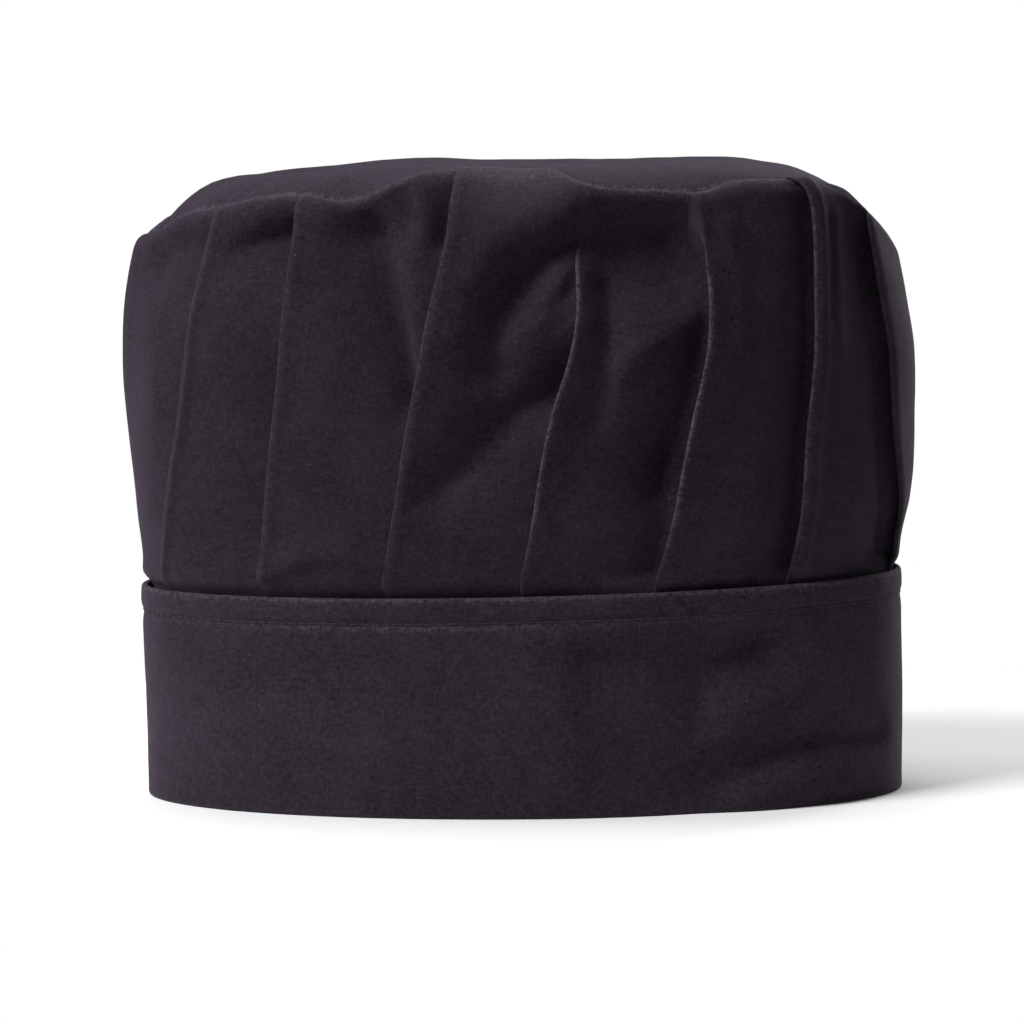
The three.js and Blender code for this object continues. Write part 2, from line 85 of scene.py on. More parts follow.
# The ridge seam: its height, how far in from the wall it lies and where the rounding to it begins
Ridge = namedtuple("Ridge", "along height inset drop")
RIDGE = [
    Ridge(-303, 189, 4, 6),
    Ridge(-250, 188.5, 4, 6),
    Ridge(-205, 186.5, 4, 6),
    Ridge(-172, 180, 4, 6),
    Ridge(-151, 175.5, 4, 6),
    Ridge(-131, 177.6, 4.5, 6),
    Ridge(-116, 182.8, 4.5, 6.5),
    Ridge(-99, 185, 5, 7),
    Ridge(-85, 187.8, 5, 7),
    Ridge(-70, 188.8, 5, 7),
    Ridge(-56, 187, 4, 5.5),
    Ridge(-47, 188.8, 3.5, 5),
    Ridge(-36, 193.4, 4, 5),
    Ridge(-29, 195.6, 6, 7),
    Ridge(-19, 195.9, 16, 18),
    Ridge(-8, 195.9, 21, 24),
    Ridge(5, 195.9, 21, 24),
    Ridge(13, 195.7, 17, 18),
    Ridge(20, 192.4, 6, 7),
    Ridge(27, 190.6, 3, 4.5),
    Ridge(45, 189.4, 3, 4),
    Ridge(58, 188.6, 3, 4),
    Ridge(72, 191.8, 4.5, 6),
    Ridge(92, 191.6, 4, 5.5),
    Ridge(104, 190.4, 3, 4),
    Ridge(116, 187.8, 3.5, 5),
    Ridge(128, 180.6, 3.5, 5),
    Ridge(151, 171.5, 4, 6),
    Ridge(172, 176.5, 4, 6),
    Ridge(205, 185.5, 4, 6),
    Ridge(250, 188.5, 4, 6),
]

# Where each pleat crosses five levels of the wall. All lips face left: the cloth to the right lies
# over the cloth to the left. A lip stands off by `low` low down and by `high` high up and comes back
# to the wall within `reach`, the cloth that goes under it dips by `dip`, and the roll along the lip is
# `roll` full. Between the rises `opens` and `opened` a pleat opens out into smooth cloth, which still
# stands off by `slope` over the width of `spread` to each side. The last column is how pale the lip is
# painted, partly for rubbed cotton and partly as a painted highlight along its edge.
PLEAT_LEVELS = (0.08, 0.43, 0.67, 0.86, 1)
Pleat = namedtuple(
    "Pleat", "foot middle upper bend head low high reach dip roll opens opened slope spread rub")
FRONT_PLEATS = [
    Pleat(-126.2, -111.3, -104.5, -100.4, -99, 1.6, 1.6, 34, -0.5, 0.7, 0.93, 1, 0, 5, 0.15),
    Pleat(-83, -75.4, -71.5, -69.5, -69.4, 1.4, 1.5, 30, 0.4, 0.5, 0.93, 1, 0, 5, 0.1),
    Pleat(-42.9, -34.6, -27.9, -21.9, -19, 1.6, 2, 22, 0.5, 0.6, 2, 3, 0, 5, 0.2),
    Pleat(-0.6, 7.3, 17, 18.7, 19, 1.8, 3.4, 11, 0.6, 0.15, 0.78, 0.84, 0.2, 3, 0.65),
    Pleat(41, 49.5, 56.6, 56.1, 55.5, 1.6, 2.4, 16, 0.6, 0.2, 0.7, 0.88, 0.8, 1.8, 0.65),
    Pleat(85.7, 87.2, 91.4, 95.2, 91.5, 1.5, 2.6, 22, 0.9, 1.1, 2, 3, 0, 5, 0.3),
    Pleat(139, 124, 121, 121.2, 122, 0.9, 1.1, 14, 0.3, 0.4, 0.88, 0.96, 0, 3, 0.1),
]
BACK_PLEAT_COUNT = 7
BACK_PLEAT = Pleat(0, 0, 0, 0, 0, 1.3, 1.5, 14, 0.5, 0.35, 0.93, 1, 0, 5, 0.2)

# Folds and hollows of the slumped cloth, in one panel or in some that follow each other (a panel has
# the number of the pleat at its left). Each follows a path of places (along, height) and stands off
# by `push`. `left` and `right` are how wide it is to each side of the way along its path, and it ends
# `narrows` times as wide and as deep as it starts.
Fold = namedtuple("Fold", "first last left right narrows push path")
ARCH = [(46, 173), (36, 172), (25, 173), (17, 172), (10, 168), (3, 161), (-4, 153), (-7, 145), (-8, 137)]
FOLDS = [
    Fold(14, 14, 6, 12, 1, -4, [(-100, 174), (-111, 172), (-123, 169)]),
    Fold(14, 14, 9, 9, 1, 1.2, [(-121, 150), (-121, 120), (-126, 95)]),
    Fold(1, 1, 6.5, 13, 0.5, -8, [(-68, 177), (-78, 175.5), (-87, 173.5)]),
    Fold(1, 1, 12, 15, 1, 2.4, [(-74, 149), (-82, 148), (-90, 149)]),
    Fold(1, 1, 15, 3, 1, -3.6, [(-74, 132), (-75, 117), (-77, 102), (-80, 85)]),
    Fold(2, 2, 7, 7, 1, 1.5, [(-60, 183), (-60, 178), (-61, 172)]),
    Fold(2, 2, 12, 4, 0.6, -9.5, [(-43, 177), (-40, 169), (-38, 160), (-35, 148), (-33, 135), (-32, 127)]),
    Fold(2, 2, 4, 2, 1, -2.6, [(-35, 190), (-33, 184), (-34, 179)]),
    Fold(2, 2, 3, 3, 1, 1.4, [(-29, 191), (-28, 182), (-29, 172)]),
    Fold(2, 2, 3, 2, 1, -3, [(-20, 192), (-21, 184), (-22, 174)]),
    Fold(2, 2, 6, 2.5, 1, 2.4, [(-44, 74), (-54, 79), (-66, 79), (-80, 73)]),
    Fold(3, 3, 11, 8, 0.75, -11, ARCH),
    Fold(4, 4, 11, 15, 0.75, -11, ARCH),
    Fold(3, 4, 7, 6, 1, 2.4, [(20, 186), (0, 179), (-10, 171), (-16, 160), (-18, 148)]),
    Fold(3, 3, 3, 2, 1, -0.7, [(16, 159), (9, 155), (3, 152)]),
    Fold(3, 3, 6, 6, 0.7, 3, [(14, 164), (3, 151), (-4, 142)]),
    Fold(3, 3, 9, 13, 0.75, -9.5, [(12, 131), (1, 125), (-7, 119), (-17, 109), (-27, 101)]),
    Fold(3, 3, 9, 9, 1, 1, [(3, 112), (-6, 103), (-15, 94)]),
    Fold(4, 4, 12, 17, 1, -4.5, [(48, 160), (42, 160), (34, 161)]),
    Fold(4, 4, 7, 4, 0.6, -5, [(28, 158), (28, 152), (27, 143), (24, 131), (22, 121)]),
    Fold(4, 4, 9, 5, 0.6, 4, [(54, 151), (43, 146), (34, 141), (28, 133)]),
    Fold(4, 4, 12, 4, 0.7, -6.5, [(59, 145), (54.5, 135), (50.5, 124), (46.5, 112), (44, 100)]),
    Fold(4, 4, 20, 5, 1, -6.2, [(46, 108), (45, 95), (43, 74)]),
    Fold(5, 5, 3, 4, 1, 1.4, [(65, 178), (67, 160), (66, 142)]),
    Fold(5, 5, 8, 2, 1.5, -3.4,
         [(96, 182), (95, 170), (93, 155), (90.5, 140), (88, 121), (86.5, 100), (86, 76)]),
    Fold(6, 6, 1.5, 1.5, 1, -0.8, [(104, 180), (102, 167), (98, 151)]),
    Fold(6, 6, 2, 3, 1, 1, [(107, 180), (104, 163), (100, 142)]),
    Fold(6, 6, 19, 4, 1, -5.6, [(121, 168), (119.5, 156), (120.5, 138), (123, 116), (129, 91), (135, 76)]),
    Fold(7, 7, 9, 9, 1, 1, [(131, 160), (134, 130), (140, 100)]),
]

# The back panels have the same soft hollow under the ridge and the same long swell
BackFold = namedtuple("BackFold", "side from_height to_height lean left right push")
BACK_FOLDS = [
    BackFold(0.5, 180, 168, 0, 8, 5, -2.4),
    BackFold(0.35, 150, 100, -6, 9, 9, 1.2),
]

# Swells of the band, the crease in its middle and the folds at its right end
BAND_FOLDS = [
    Fold(0, 0, 12, 7, 1, 1.8, [(12, 62), (13, 30), (14, 4)]),
    Fold(0, 0, 7, 12, 1, -2.8, [(72, 48), (50, 47), (22, 47)]),
    Fold(0, 0, 14, 9, 1, -4.6, [(72, 50), (62, 45), (56, 38), (54, 26)]),
    Fold(0, 0, 14, 6, 1, 2.2, [(84, 30), (68, 27), (54, 20)]),
    Fold(0, 0, 7.5, 14, 0.4, -6.4, [(54, -2), (65, 9), (78, 16.5), (100, 20.5), (122, 19)]),
    Fold(0, 0, 9, 9, 1, 3, [(104, 7), (92, 7), (79, 4), (68, -3)]),
    Fold(0, 0, 14, 12, 1, 1.2, [(-30, 20), (-75, 30), (-100, 24)]),
    Fold(0, 0, 10, 10, 1, -1, [(-10, 40), (-40, 44), (-80, 42)]),
]

# Dents of the top panel
Dent = namedtuple("Dent", "x y spread push")
TOP_DENTS = [
    Dent(-72, 0, 26, -3.6),
    Dent(14, 22, 26, -1.6),
    Dent(52, -8, 20, 0.8),
    Dent(-96, 4, 13, 1.8),
]

# How rounded the crest of a fold is: 2 is soft, 1 a sharp crease
FOLD_ROUNDING = 1.6

# Soft unevenness of the cloth: its size along and up, its height, and the seed of its draw
Wrinkle = namedtuple("Wrinkle", "along up height seed")
WALL_WRINKLES = [
    Wrinkle(26, 34, 0.55, 11),
    Wrinkle(11, 17, 0.2, 12),
    Wrinkle(5, 8, 0.06, 13),
]
BAND_WRINKLES = [
    Wrinkle(42, 24, 0.35, 21),
    Wrinkle(16, 11, 0.12, 22),
    Wrinkle(6, 5, 0.04, 23),
]
TOP_WRINKLES = [
    Wrinkle(34, 30, 0.9, 31),
    Wrinkle(14, 12, 0.45, 32),
    Wrinkle(6, 6, 0.07, 33),
]
# Small gathers along the seams
BAND_EDGE_GATHERS = [Wrinkle(4.6, 40, 0.3, 15)]
RIDGE_GATHERS = [Wrinkle(5.4, 30, 0.12, 16)]
CHANNEL_GATHERS = [Wrinkle(5.2, 30, 0.5, 24)]
STITCH_PUCKERS = [Wrinkle(4.4, 30, 0.12, 25)]
TOP_GATHERS = [Wrinkle(5.8, 30, 0.15, 34)]
# How unevenly the painted highlight on the bulge below the stitches runs
UNEVEN_HIGHLIGHT = [Wrinkle(3.3, 5, 0.6, 26)]


# General helpers
def mix(a, b, share):
    return a + (b - a) * share


def ease(share):
    s = np.clip(share, 0, 1)
    return s * s * (3 - 2 * s)


def within(stretch, place):
    return ease((place - stretch[0]) / (stretch[1] - stretch[0]))


def column(rows, name):
    return np.array([getattr(row, name) for row in rows], dtype=float)


def curve(keys, values, place):
    """The value at a place on a smooth curve through a table's rows"""
    keys, values = np.asarray(keys, dtype=float), np.asarray(values, dtype=float)
    place = np.asarray(place, dtype=float)
    i = np.clip(np.searchsorted(keys, place, side="left") - 1, 0, len(keys) - 2)
    before, after = np.maximum(i - 1, 0), np.minimum(i + 2, len(keys) - 1)
    span = keys[i + 1] - keys[i]
    s = np.clip((place - keys[i]) / span, 0, 1)
    slope_a = (values[i + 1] - values[before]) / (keys[i + 1] - keys[before])
    slope_b = (values[after] - values[i]) / (keys[after] - keys[i])
    s2, s3 = s * s, s * s * s
    return (values[i] * (2 * s3 - 3 * s2 + 1) + values[i + 1] * (3 * s2 - 2 * s3)
            + span * (slope_a * (s3 - 2 * s2 + s) + slope_b * (s3 - s2)))


LATTICE_SIZE = 64


def wrinkle(u, v, row, length=None):
    """Smooth unevenness between about -1 and 1, repeating along u after the given length"""
    count = round(length / row.along) if length else LATTICE_SIZE
    size = length / count if length else row.along
    lattice = np.random.default_rng(row.seed).uniform(-1, 1, (count, LATTICE_SIZE))
    a, b = np.asarray(u) / size, np.asarray(v) / row.up
    i, j = np.floor(a).astype(int), np.floor(b).astype(int)
    s, t = ease(a - i), ease(b - j)
    low, high = (mix(lattice[i % count, row_at], lattice[(i + 1) % count, row_at], s)
                 for row_at in (j % LATTICE_SIZE, (j + 1) % LATTICE_SIZE))
    return mix(low, high, t)


def wrinkles(u, v, rows, length=None):
    return sum(row.height * wrinkle(u, v, row, length) for row in rows)


# The oval of the band, measured step by step
def measure_oval(steps=2880):
    angles = np.linspace(0, math.pi, steps + 1)
    middles = (angles[1:] + angles[:-1]) / 2
    lengths = np.hypot(BAND_HALF_WIDTH * np.cos(middles), BAND_HALF_DEPTH * np.sin(middles))
    return np.concatenate([[0], np.cumsum(lengths) * math.pi / steps]), angles


OVAL_ALONG, OVAL_ANGLES = measure_oval()
GIRTH = 2 * OVAL_ALONG[-1]


def near_front(along):
    return along - GIRTH * np.round(along / GIRTH)


def angle_at(along):
    near = near_front(along)
    return np.sign(near) * np.interp(np.abs(near), OVAL_ALONG, OVAL_ANGLES)


def band_top(angle):
    return BAND_HEIGHT + BAND_TILT * np.sin(angle)


def oval_side(half_width, half_depth, angle):
    """The level direction out of an oval"""
    x, y = half_depth * np.sin(angle), -half_width * np.cos(angle)
    size = np.hypot(x, y)
    return x / size, y / size


def on_band(angle, off):
    """The level place of a point that stands off the band's oval"""
    side_x, side_y = oval_side(BAND_HALF_WIDTH, BAND_HALF_DEPTH, angle)
    return (BAND_HALF_WIDTH * np.sin(angle) + side_x * off,
            -BAND_HALF_DEPTH * np.cos(angle) + side_y * off)


def beside(path, along, height):
    """How far places lie from a path, on which side (-1 left, 1 right) and how far down it (0 to 1)"""
    shape = np.broadcast(along, height).shape
    best, side, down = np.full(shape, np.inf), np.zeros(shape), np.zeros(shape)
    lengths = [math.dist(a, b) for a, b in zip(path, path[1:])]
    passed = 0
    for a, b, length in zip(path, path[1:], lengths):
        x, y, reach = along - a[0], height - a[1], np.subtract(b, a)
        share = np.clip((x * reach[0] + y * reach[1]) / length ** 2, 0, 1)
        off = np.hypot(x - share * reach[0], y - share * reach[1])
        across = (reach[0] * y - reach[1] * x) / (length * np.maximum(off, 1e-6))
        nearer = off < best
        best = np.where(nearer, off, best)
        side = np.where(nearer, across, side)
        down = np.where(nearer, (passed + share * length) / sum(lengths), down)
        passed += length
    return best, side, down


def fold_push(folds, along, height):
    push = np.zeros(np.broadcast(along, height).shape)
    for fold in folds:
        off, side, down = beside(fold.path, along, height)
        size = mix(1, fold.narrows, down)
        width = mix(fold.left, fold.right, 0.5 + 0.5 * side) * size
        push = push + fold.push * size * np.exp(-((off / width) ** FOLD_ROUNDING))
    return push


# The pleats in order round the crown, the ones at the back at an even pitch
def all_pleats():
    last, first = FRONT_PLEATS[-1], FRONT_PLEATS[0]
    pleats = list(FRONT_PLEATS)
    for number in range(1, BACK_PLEAT_COUNT + 1):
        share = number / (BACK_PLEAT_COUNT + 1)
        places = [mix(getattr(last, level), getattr(first, level) + GIRTH, share)
                  for level in ("foot", "middle", "upper", "bend", "head")]
        pleats.append(Pleat(*places, *BACK_PLEAT[5:]))
    return pleats


PLEATS = all_pleats()
PANELS = len(PLEATS)


def crease(number, rise):
    """Where a pleat lies along the band at a rise from the tucked edge (0) to the ridge (1)"""
    turns, index = divmod(number, PANELS)
    pleat = PLEATS[index]
    places = (pleat.foot, pleat.middle, pleat.upper, pleat.bend, pleat.head)
    return curve(PLEAT_LEVELS, places, np.maximum(rise, PLEAT_LEVELS[0])) + turns * GIRTH


def panel_folds(panel):
    own = [fold for fold in FOLDS if fold.first <= panel + 1 <= fold.last]
    if own:
        return own
    folds = []
    for row in BACK_FOLDS:
        start = mix(crease(panel, 1), crease(panel + 1, 1), row.side)
        folds.append(Fold(panel + 1, panel + 1, row.left, row.right, 1, row.push,
                          [(start, row.from_height), (start + row.lean, row.to_height)]))
    return folds


PANEL_FOLDS = [panel_folds(panel) for panel in range(PANELS)]
RIDGE_ROUND = ([row._replace(along=row.along - GIRTH) for row in RIDGE[-3:]] + RIDGE
               + [row._replace(along=row.along + GIRTH) for row in RIDGE[:3]])

# The wall is upright up to this share of its rise and rounds over to the seam beyond it
UPRIGHT_SHARE = 0.9
# The tucked cloth is wider at the left and the right end of the oval, and fades out over the band
TUCKED_WIDER = (1.3, 0.4)
TUCKED_FADE = (0, 8)
# How far over the band the folds begin, and where on the rise they end and a lip's lift changes
FOLD_START = 6
FOLD_END = (0.955, 1)
LEAVING_BAND = (0.09, 0.16)
LOW_TO_HIGH = (0.25, 0.6)
TO_SEAM = (0.86, 1)
TUCKED_LIFT = 0.9
SEAM_LIFT = 0.9
# Where the gathers come and go: above the band, and on the rise below the ridge seam
BAND_GATHER_FADE = 9
RIDGE_GATHERS_IN = (0.78, 0.95)
RIDGE_GATHERS_OUT = (0.97, 1)
# The panels after this one draw other wrinkles than the ones before, each this far along from the last
LAST_SHARED_PANEL = 4
WRINKLE_SHIFT = 37
DIP_WIDTH = 7


def wall_base(panel, along, rise):
    """The plain wall: its points, the way out of it, the level way out, and its height"""
    left, right = crease(panel, rise), crease(panel + 1, rise)
    across = (along - left) / (right - left)
    head = near_front(mix(crease(panel, 1.0), crease(panel + 1, 1.0), across))
    keys = column(RIDGE_ROUND, "along")
    ridge_height, inset, drop = (curve(keys, column(RIDGE_ROUND, name), head)
                                 for name in ("height", "inset", "drop"))
    angle = angle_at(along)
    turn = math.pi / 2 * np.clip((rise - UPRIGHT_SHARE) / (1 - UPRIGHT_SHARE), 0, 1)
    # A small shoulder is a little squarer than a wide one
    square = mix(0.9, 1, ease((inset - 4) / 10))
    inwards = inset * (1 - np.cos(turn) ** square)
    raised = drop * np.sin(turn) ** square
    upright = mix(band_top(angle) - TUCK, ridge_height - drop, np.minimum(1, rise / UPRIGHT_SHARE))
    height = upright + raised
    lift = height - band_top(angle)
    half_width, shift, half_depth = (curve(column(SECTIONS, "lift"), column(SECTIONS, name), lift)
                                     for name in ("half_width", "shift", "half_depth"))
    # At the two ends of the oval the tucked cloth lies closer to the band
    ends = np.where(np.sin(angle) < 0, *TUCKED_WIDER) * np.sin(angle) ** 4
    half_width = half_width + ends * (1 - within(TUCKED_FADE, lift))
    side_x, side_y = oval_side(half_width, half_depth, angle)
    points = np.stack([shift + half_width * np.sin(angle) - side_x * inwards,
                       -half_depth * np.cos(angle) - side_y * inwards, height], axis=-1)
    out = np.stack([side_x * np.cos(turn), side_y * np.cos(turn), np.sin(turn)], axis=-1)
    level = np.stack([side_x, side_y, np.zeros_like(side_x)], axis=-1)
    return points, out, level, height


def lip_lift(pleat, rise):
    free = mix(pleat.low, pleat.high, within(LOW_TO_HIGH, rise))
    free = mix(free, pleat.slope, opening(pleat, rise))
    lift = mix(TUCKED_LIFT, free, within(LEAVING_BAND, rise))
    return mix(lift, SEAM_LIFT * (1 - opening(pleat, rise)), within(TO_SEAM, rise))


def opening(pleat, rise):
    """How far a pleat has opened out into smooth cloth at a rise"""
    return within((pleat.opens, pleat.opened), rise)


def panel_off(panel, along, rise, height):
    """How far a panel's cloth stands off the plain wall, with its folds, lips, dips and puckers"""
    near = along - (GIRTH if panel == PANELS - 1 else 0)
    over_band = height - band_top(angle_at(along))
    clear = ease(over_band / FOLD_START) * (1 - within(FOLD_END, rise))
    off = fold_push(PANEL_FOLDS[panel], near, height) * clear
    shift = WRINKLE_SHIFT * max(0, panel - LAST_SHARED_PANEL)
    off = off + wrinkles(along + shift, height, WALL_WRINKLES) * clear
    low = np.exp(-(np.maximum(over_band, 0) / BAND_GATHER_FADE) ** 2) * ease(over_band / 2 + 0.5)
    off = off + low * wrinkles(along, height, BAND_EDGE_GATHERS, GIRTH)
    high = within(RIDGE_GATHERS_IN, rise) * (1 - within(RIDGE_GATHERS_OUT, rise))
    off = off + high * wrinkles(along, height, RIDGE_GATHERS, GIRTH)
    # Over the pleat at the left, and under the one at the right
    pleat, distance = PLEATS[panel], along - crease(panel, rise)
    closed = 1 - opening(pleat, rise)
    off = off + lip_lift(pleat, rise) * (1 - ease(distance / pleat.reach))
    roll = np.exp(-(((distance - 1 - 2 * pleat.roll) / (0.9 + 1.2 * pleat.roll)) ** 2))
    off = off + closed * clear * pleat.roll * roll
    pleat, distance = PLEATS[(panel + 1) % PANELS], crease(panel + 1, rise) - along
    closed = 1 - opening(pleat, rise)
    return off - closed * pleat.dip * clear * np.exp(-((distance / DIP_WIDTH) ** 2))


# How the wall is divided. Rows are closer at the band, at the ridge and where the edge turns in.
ROW_STRETCHES = ((0, 0.085, 6), (0.085, 0.2, 11), (0.2, 0.64, 32), (0.64, 0.9, 30), (0.9, 1, 13))
TURN_IN = tuple(math.radians(angle) for angle in (20, 42, 64, 84))
FRONT_COLUMNS = 25
BACK_COLUMNS = 12
LIP_STEPS = 5
INNER_STEPS = 3
# How strongly the columns are drawn together towards a panel's pleats
COLUMN_BUNCHING = 0.09
# A lip presses in the cloth below it up to this far out from it
PRESSED_WIDTH = 12
# Room between two layers, the largest bends of a lip and of the inner edge, and how far that edge
# bulges
LAYER_GAP = 0.04
WIDEST_LIP = 0.5
WIDEST_INNER = 0.7
INNER_BULGE = 0.6
# How wide a lip is painted paler, for rubbed cotton and a painted highlight along its edge, over how
# many steps of its bend it is so in full, how little after them, and where on the rise the paling comes in
RUB_AND_HIGHLIGHT_WIDTH = 0.8
RUBBED_AND_HIGHLIGHTED_STEPS = 3
UNDERSIDE_RUB_AND_HIGHLIGHT = 0.3
RUB_AND_HIGHLIGHT_START = (0.1, 0.3)
# A place belongs to the turn round the crown that starts this far left of its panel
TURN_MARGIN = 20


def wall_rises():
    rises = [0.0]
    for low, high, count in ROW_STRETCHES:
        rises += [mix(low, high, step / count) for step in range(1, count + 1)]
    return np.array(rises)


class WallCloth:
    """The crown's wall as columns of points, from pleat to pleat and through each pleat's layers"""

    def __init__(self, sizes):
        self.rise = wall_rises()
        self.depth = sizes.pleat_depth / MM
        self.roll = sizes.pleat_roll / MM
        self.thick = sizes.cloth_thickness / MM
        self.turn_in = sizes.seam_roll / MM
        self.columns, self.wear, self.heads = [], [], []
        self.under = {}
        for number in range(1, PANELS + 1):
            self.under[number % PANELS] = self.crowding(number)
        for panel in range(PANELS):
            self.add_panel(panel)
            self.add_pleat(panel + 1)
        self.points = np.stack(self.columns, axis=1)

    def placed(self, panel, along):
        """A place that belongs to a panel, on the same turn round the crown as the panel"""
        return along - GIRTH * np.round((along - crease(panel, 0.5) - TURN_MARGIN) / GIRTH)

    def off(self, panel, along):
        along = self.placed(panel, along)
        height = wall_base(panel, along, self.rise)[3]
        return panel_off(panel, along, self.rise, height)

    def crowding(self, number):
        """How far the cloth below a lip is pressed in, where folds would bring it too near the lip"""
        at = crease(number, self.rise)
        room = self.off(number % PANELS, at) - self.off((number - 1) % PANELS, at)
        closed = 1 - opening(PLEATS[number % PANELS], self.rise)
        return np.maximum(0, self.need() - room) * closed

    def need(self):
        """The least room between a lip and the cloth below it, for the layers folded in between"""
        return 2 * self.pitch()

    def pitch(self):
        return self.thick + LAYER_GAP

    def pressed(self, panel, along):
        """The cloth of a panel with what the lip at its right presses in"""
        along = self.placed(panel, along)
        distance = crease(panel + 1, self.rise) - along
        share = 1 - ease(distance / PRESSED_WIDTH)
        return self.off(panel, along) - self.under[(panel + 1) % PANELS] * share

    def add(self, panel, along, off, wear):
        along = self.placed(panel, along)
        points, out, level, _ = wall_base(panel, along, self.rise)
        rows = points + out * off[:, None]
        self.wear.append(wear)
        centre = points[-1] - (0, 0, self.turn_in)
        reach = self.turn_in + off[-1]
        turned = [centre + (np.array((0, 0, 1)) * math.cos(t) - level[-1] * math.sin(t)) * reach
                  for t in TURN_IN]
        self.columns.append(np.concatenate([rows, turned]))
        return reach

    def add_panel(self, panel):
        left, right = crease(panel, self.rise), crease(panel + 1, self.rise)
        before, after = PLEATS[panel], PLEATS[(panel + 1) % PANELS]
        start = mix(self.roll, before.spread, opening(before, self.rise))
        end = after.spread * opening(after, self.rise)
        in_front = panel < len(FRONT_PLEATS) - 1 or panel == PANELS - 1
        count = FRONT_COLUMNS if in_front else BACK_COLUMNS
        for step in range(count):
            share = step / (count - 1)
            share = share - COLUMN_BUNCHING * math.sin(2 * math.pi * share)
            along = mix(left + start, right - end, share)
            # The cloth next to the lip is painted paler: rubbed cotton and a painted highlight along the
            # lip
            wear = np.exp(-((along - left) / RUB_AND_HIGHLIGHT_WIDTH) ** 2) * self.rubbed_and_highlighted(before)
            reach = self.add(panel, along, self.pressed(panel, along), wear)
            self.heads.append((near_front(along[-1]), reach, len(self.columns) - 1))

    def rubbed_and_highlighted(self, pleat):
        """How pale a lip is painted on its way up, partly rubbed cotton and partly a painted highlight:
        less where it leaves the band and where it opens out
        """
        return pleat.rub * within(RUB_AND_HIGHLIGHT_START, self.rise) * (1 - opening(pleat, self.rise))

    def add_pleat(self, number):
        """The cloth folded away at a pleat, from the lip inwards and laid down from the far end"""
        under, over = (number - 1) % PANELS, number % PANELS
        at = crease(number, self.rise)
        pitch = self.pitch()
        low_edge = self.pressed(under, at)
        path = []
        top = self.pressed(over, at + self.roll)
        room = self.pressed(over, at) - low_edge
        lip = np.clip(room / 4, pitch / 2, WIDEST_LIP)
        # The outer steps of the lip's bend are painted paler in full, for rubbed cotton and a painted
        # highlight, and its underside less
        for step in range(1, LIP_STEPS + 1):
            turn = math.pi * step / (LIP_STEPS + 1)
            wear = 1.0 if step <= RUBBED_AND_HIGHLIGHTED_STEPS else UNDERSIDE_RUB_AND_HIGHLIGHT
            path.append((self.roll * (1 - math.sin(turn)), top - lip * (1 - math.cos(turn)), wear))
        inner = np.clip((room - 2 * lip) / 2, pitch / 2, WIDEST_INNER)
        for inwards in (self.roll, self.depth * 0.6):
            path.append((inwards, self.pressed(over, at + inwards) - 2 * lip, 0.0))
        edge = self.pressed(over, at + self.depth) - 2 * lip
        for step in range(INNER_STEPS + 1):
            turn = math.pi * step / INNER_STEPS
            bulge = INNER_BULGE * math.sin(turn)
            path.append((self.depth + bulge, edge - inner * (1 - math.cos(turn)), 0.0))
        for share in (0.4, 0.8):
            inwards = self.depth * (1 - share)
            level = self.pressed(over, at + inwards) - 2 * lip - pitch
            path.append((inwards, np.minimum(mix(edge - 2 * inner, low_edge, ease(share)), level), 0.0))
        pleat = PLEATS[over]
        open_share = opening(pleat, self.rise)
        flat_over = self.pressed(over, at + pleat.spread)
        flat_under = self.pressed(under, at - pleat.spread)
        # Opened out, the folded cloth is spread evenly over the width of the opening
        places = np.array([(np.broadcast_to(inwards, off.shape), off) for inwards, off, _ in path])
        lengths = np.median(np.hypot(*np.diff(places, axis=0).transpose(1, 0, 2)), axis=1)
        shares = (np.concatenate([[0], np.cumsum(lengths)]) + 1) / (np.sum(lengths) + 2)
        for step, (inwards, off, wear) in reversed(list(enumerate(path))):
            share = shares[step]
            inwards = mix(inwards, pleat.spread * (1 - 2 * share), open_share)
            off = mix(off, mix(flat_over, flat_under, ease(share)), open_share)
            self.add(over, at + inwards, off, wear * self.rubbed_and_highlighted(pleat))

    def seam_line(self, count, reach_around=1.6, smoothings=3):
        """Where the top panel is sewn in: points evenly round the crown, the level way out there, and how
        far the wall's edge has turned in"""
        order = sorted(self.heads)
        along = np.array([head for head, _, _ in order])
        reach = np.array([value for _, value, _ in order])
        where = (np.arange(count) / count - 0.5) * GIRTH
        step = GIRTH / count
        wide = np.interp(where, along, reach, period=GIRTH)
        spread = max(1, round(reach_around / step))
        wide = np.max([np.roll(wide, shift) for shift in range(-spread, spread + 1)], axis=0)
        for _ in range(smoothings):
            wide = (np.roll(wide, 1) + 2 * wide + np.roll(wide, -1)) / 4
        points, levels = [], []
        for value in where:
            panel = panel_at_head(value)
            place = self.placed(panel, value)
            base, _, level, _ = wall_base(panel, np.array([place]), np.array([1.0]))
            points.append(base[0])
            levels.append(level[0])
        return np.array(points), np.array(levels), wide, where


def panel_at_head(along):
    for panel in range(PANELS):
        left, right = float(crease(panel, 1.0)), float(crease(panel + 1, 1.0))
        if any(left <= along + turn * GIRTH < right for turn in (-1, 0, 1, 2)):
            return panel
    raise RuntimeError("the panels don't go all the way round the crown")


# Laying a grid of cloth out as a mesh
JOIN_DISTANCE = 2e-6


def start_clean():
    bpy.ops.object.select_all(action="DESELECT")


def each_corner(mesh):
    """The vertex at each corner of the mesh's faces"""
    corner = np.empty(len(mesh.loops), dtype=int)
    mesh.loops.foreach_get("vertex_index", corner)
    return corner


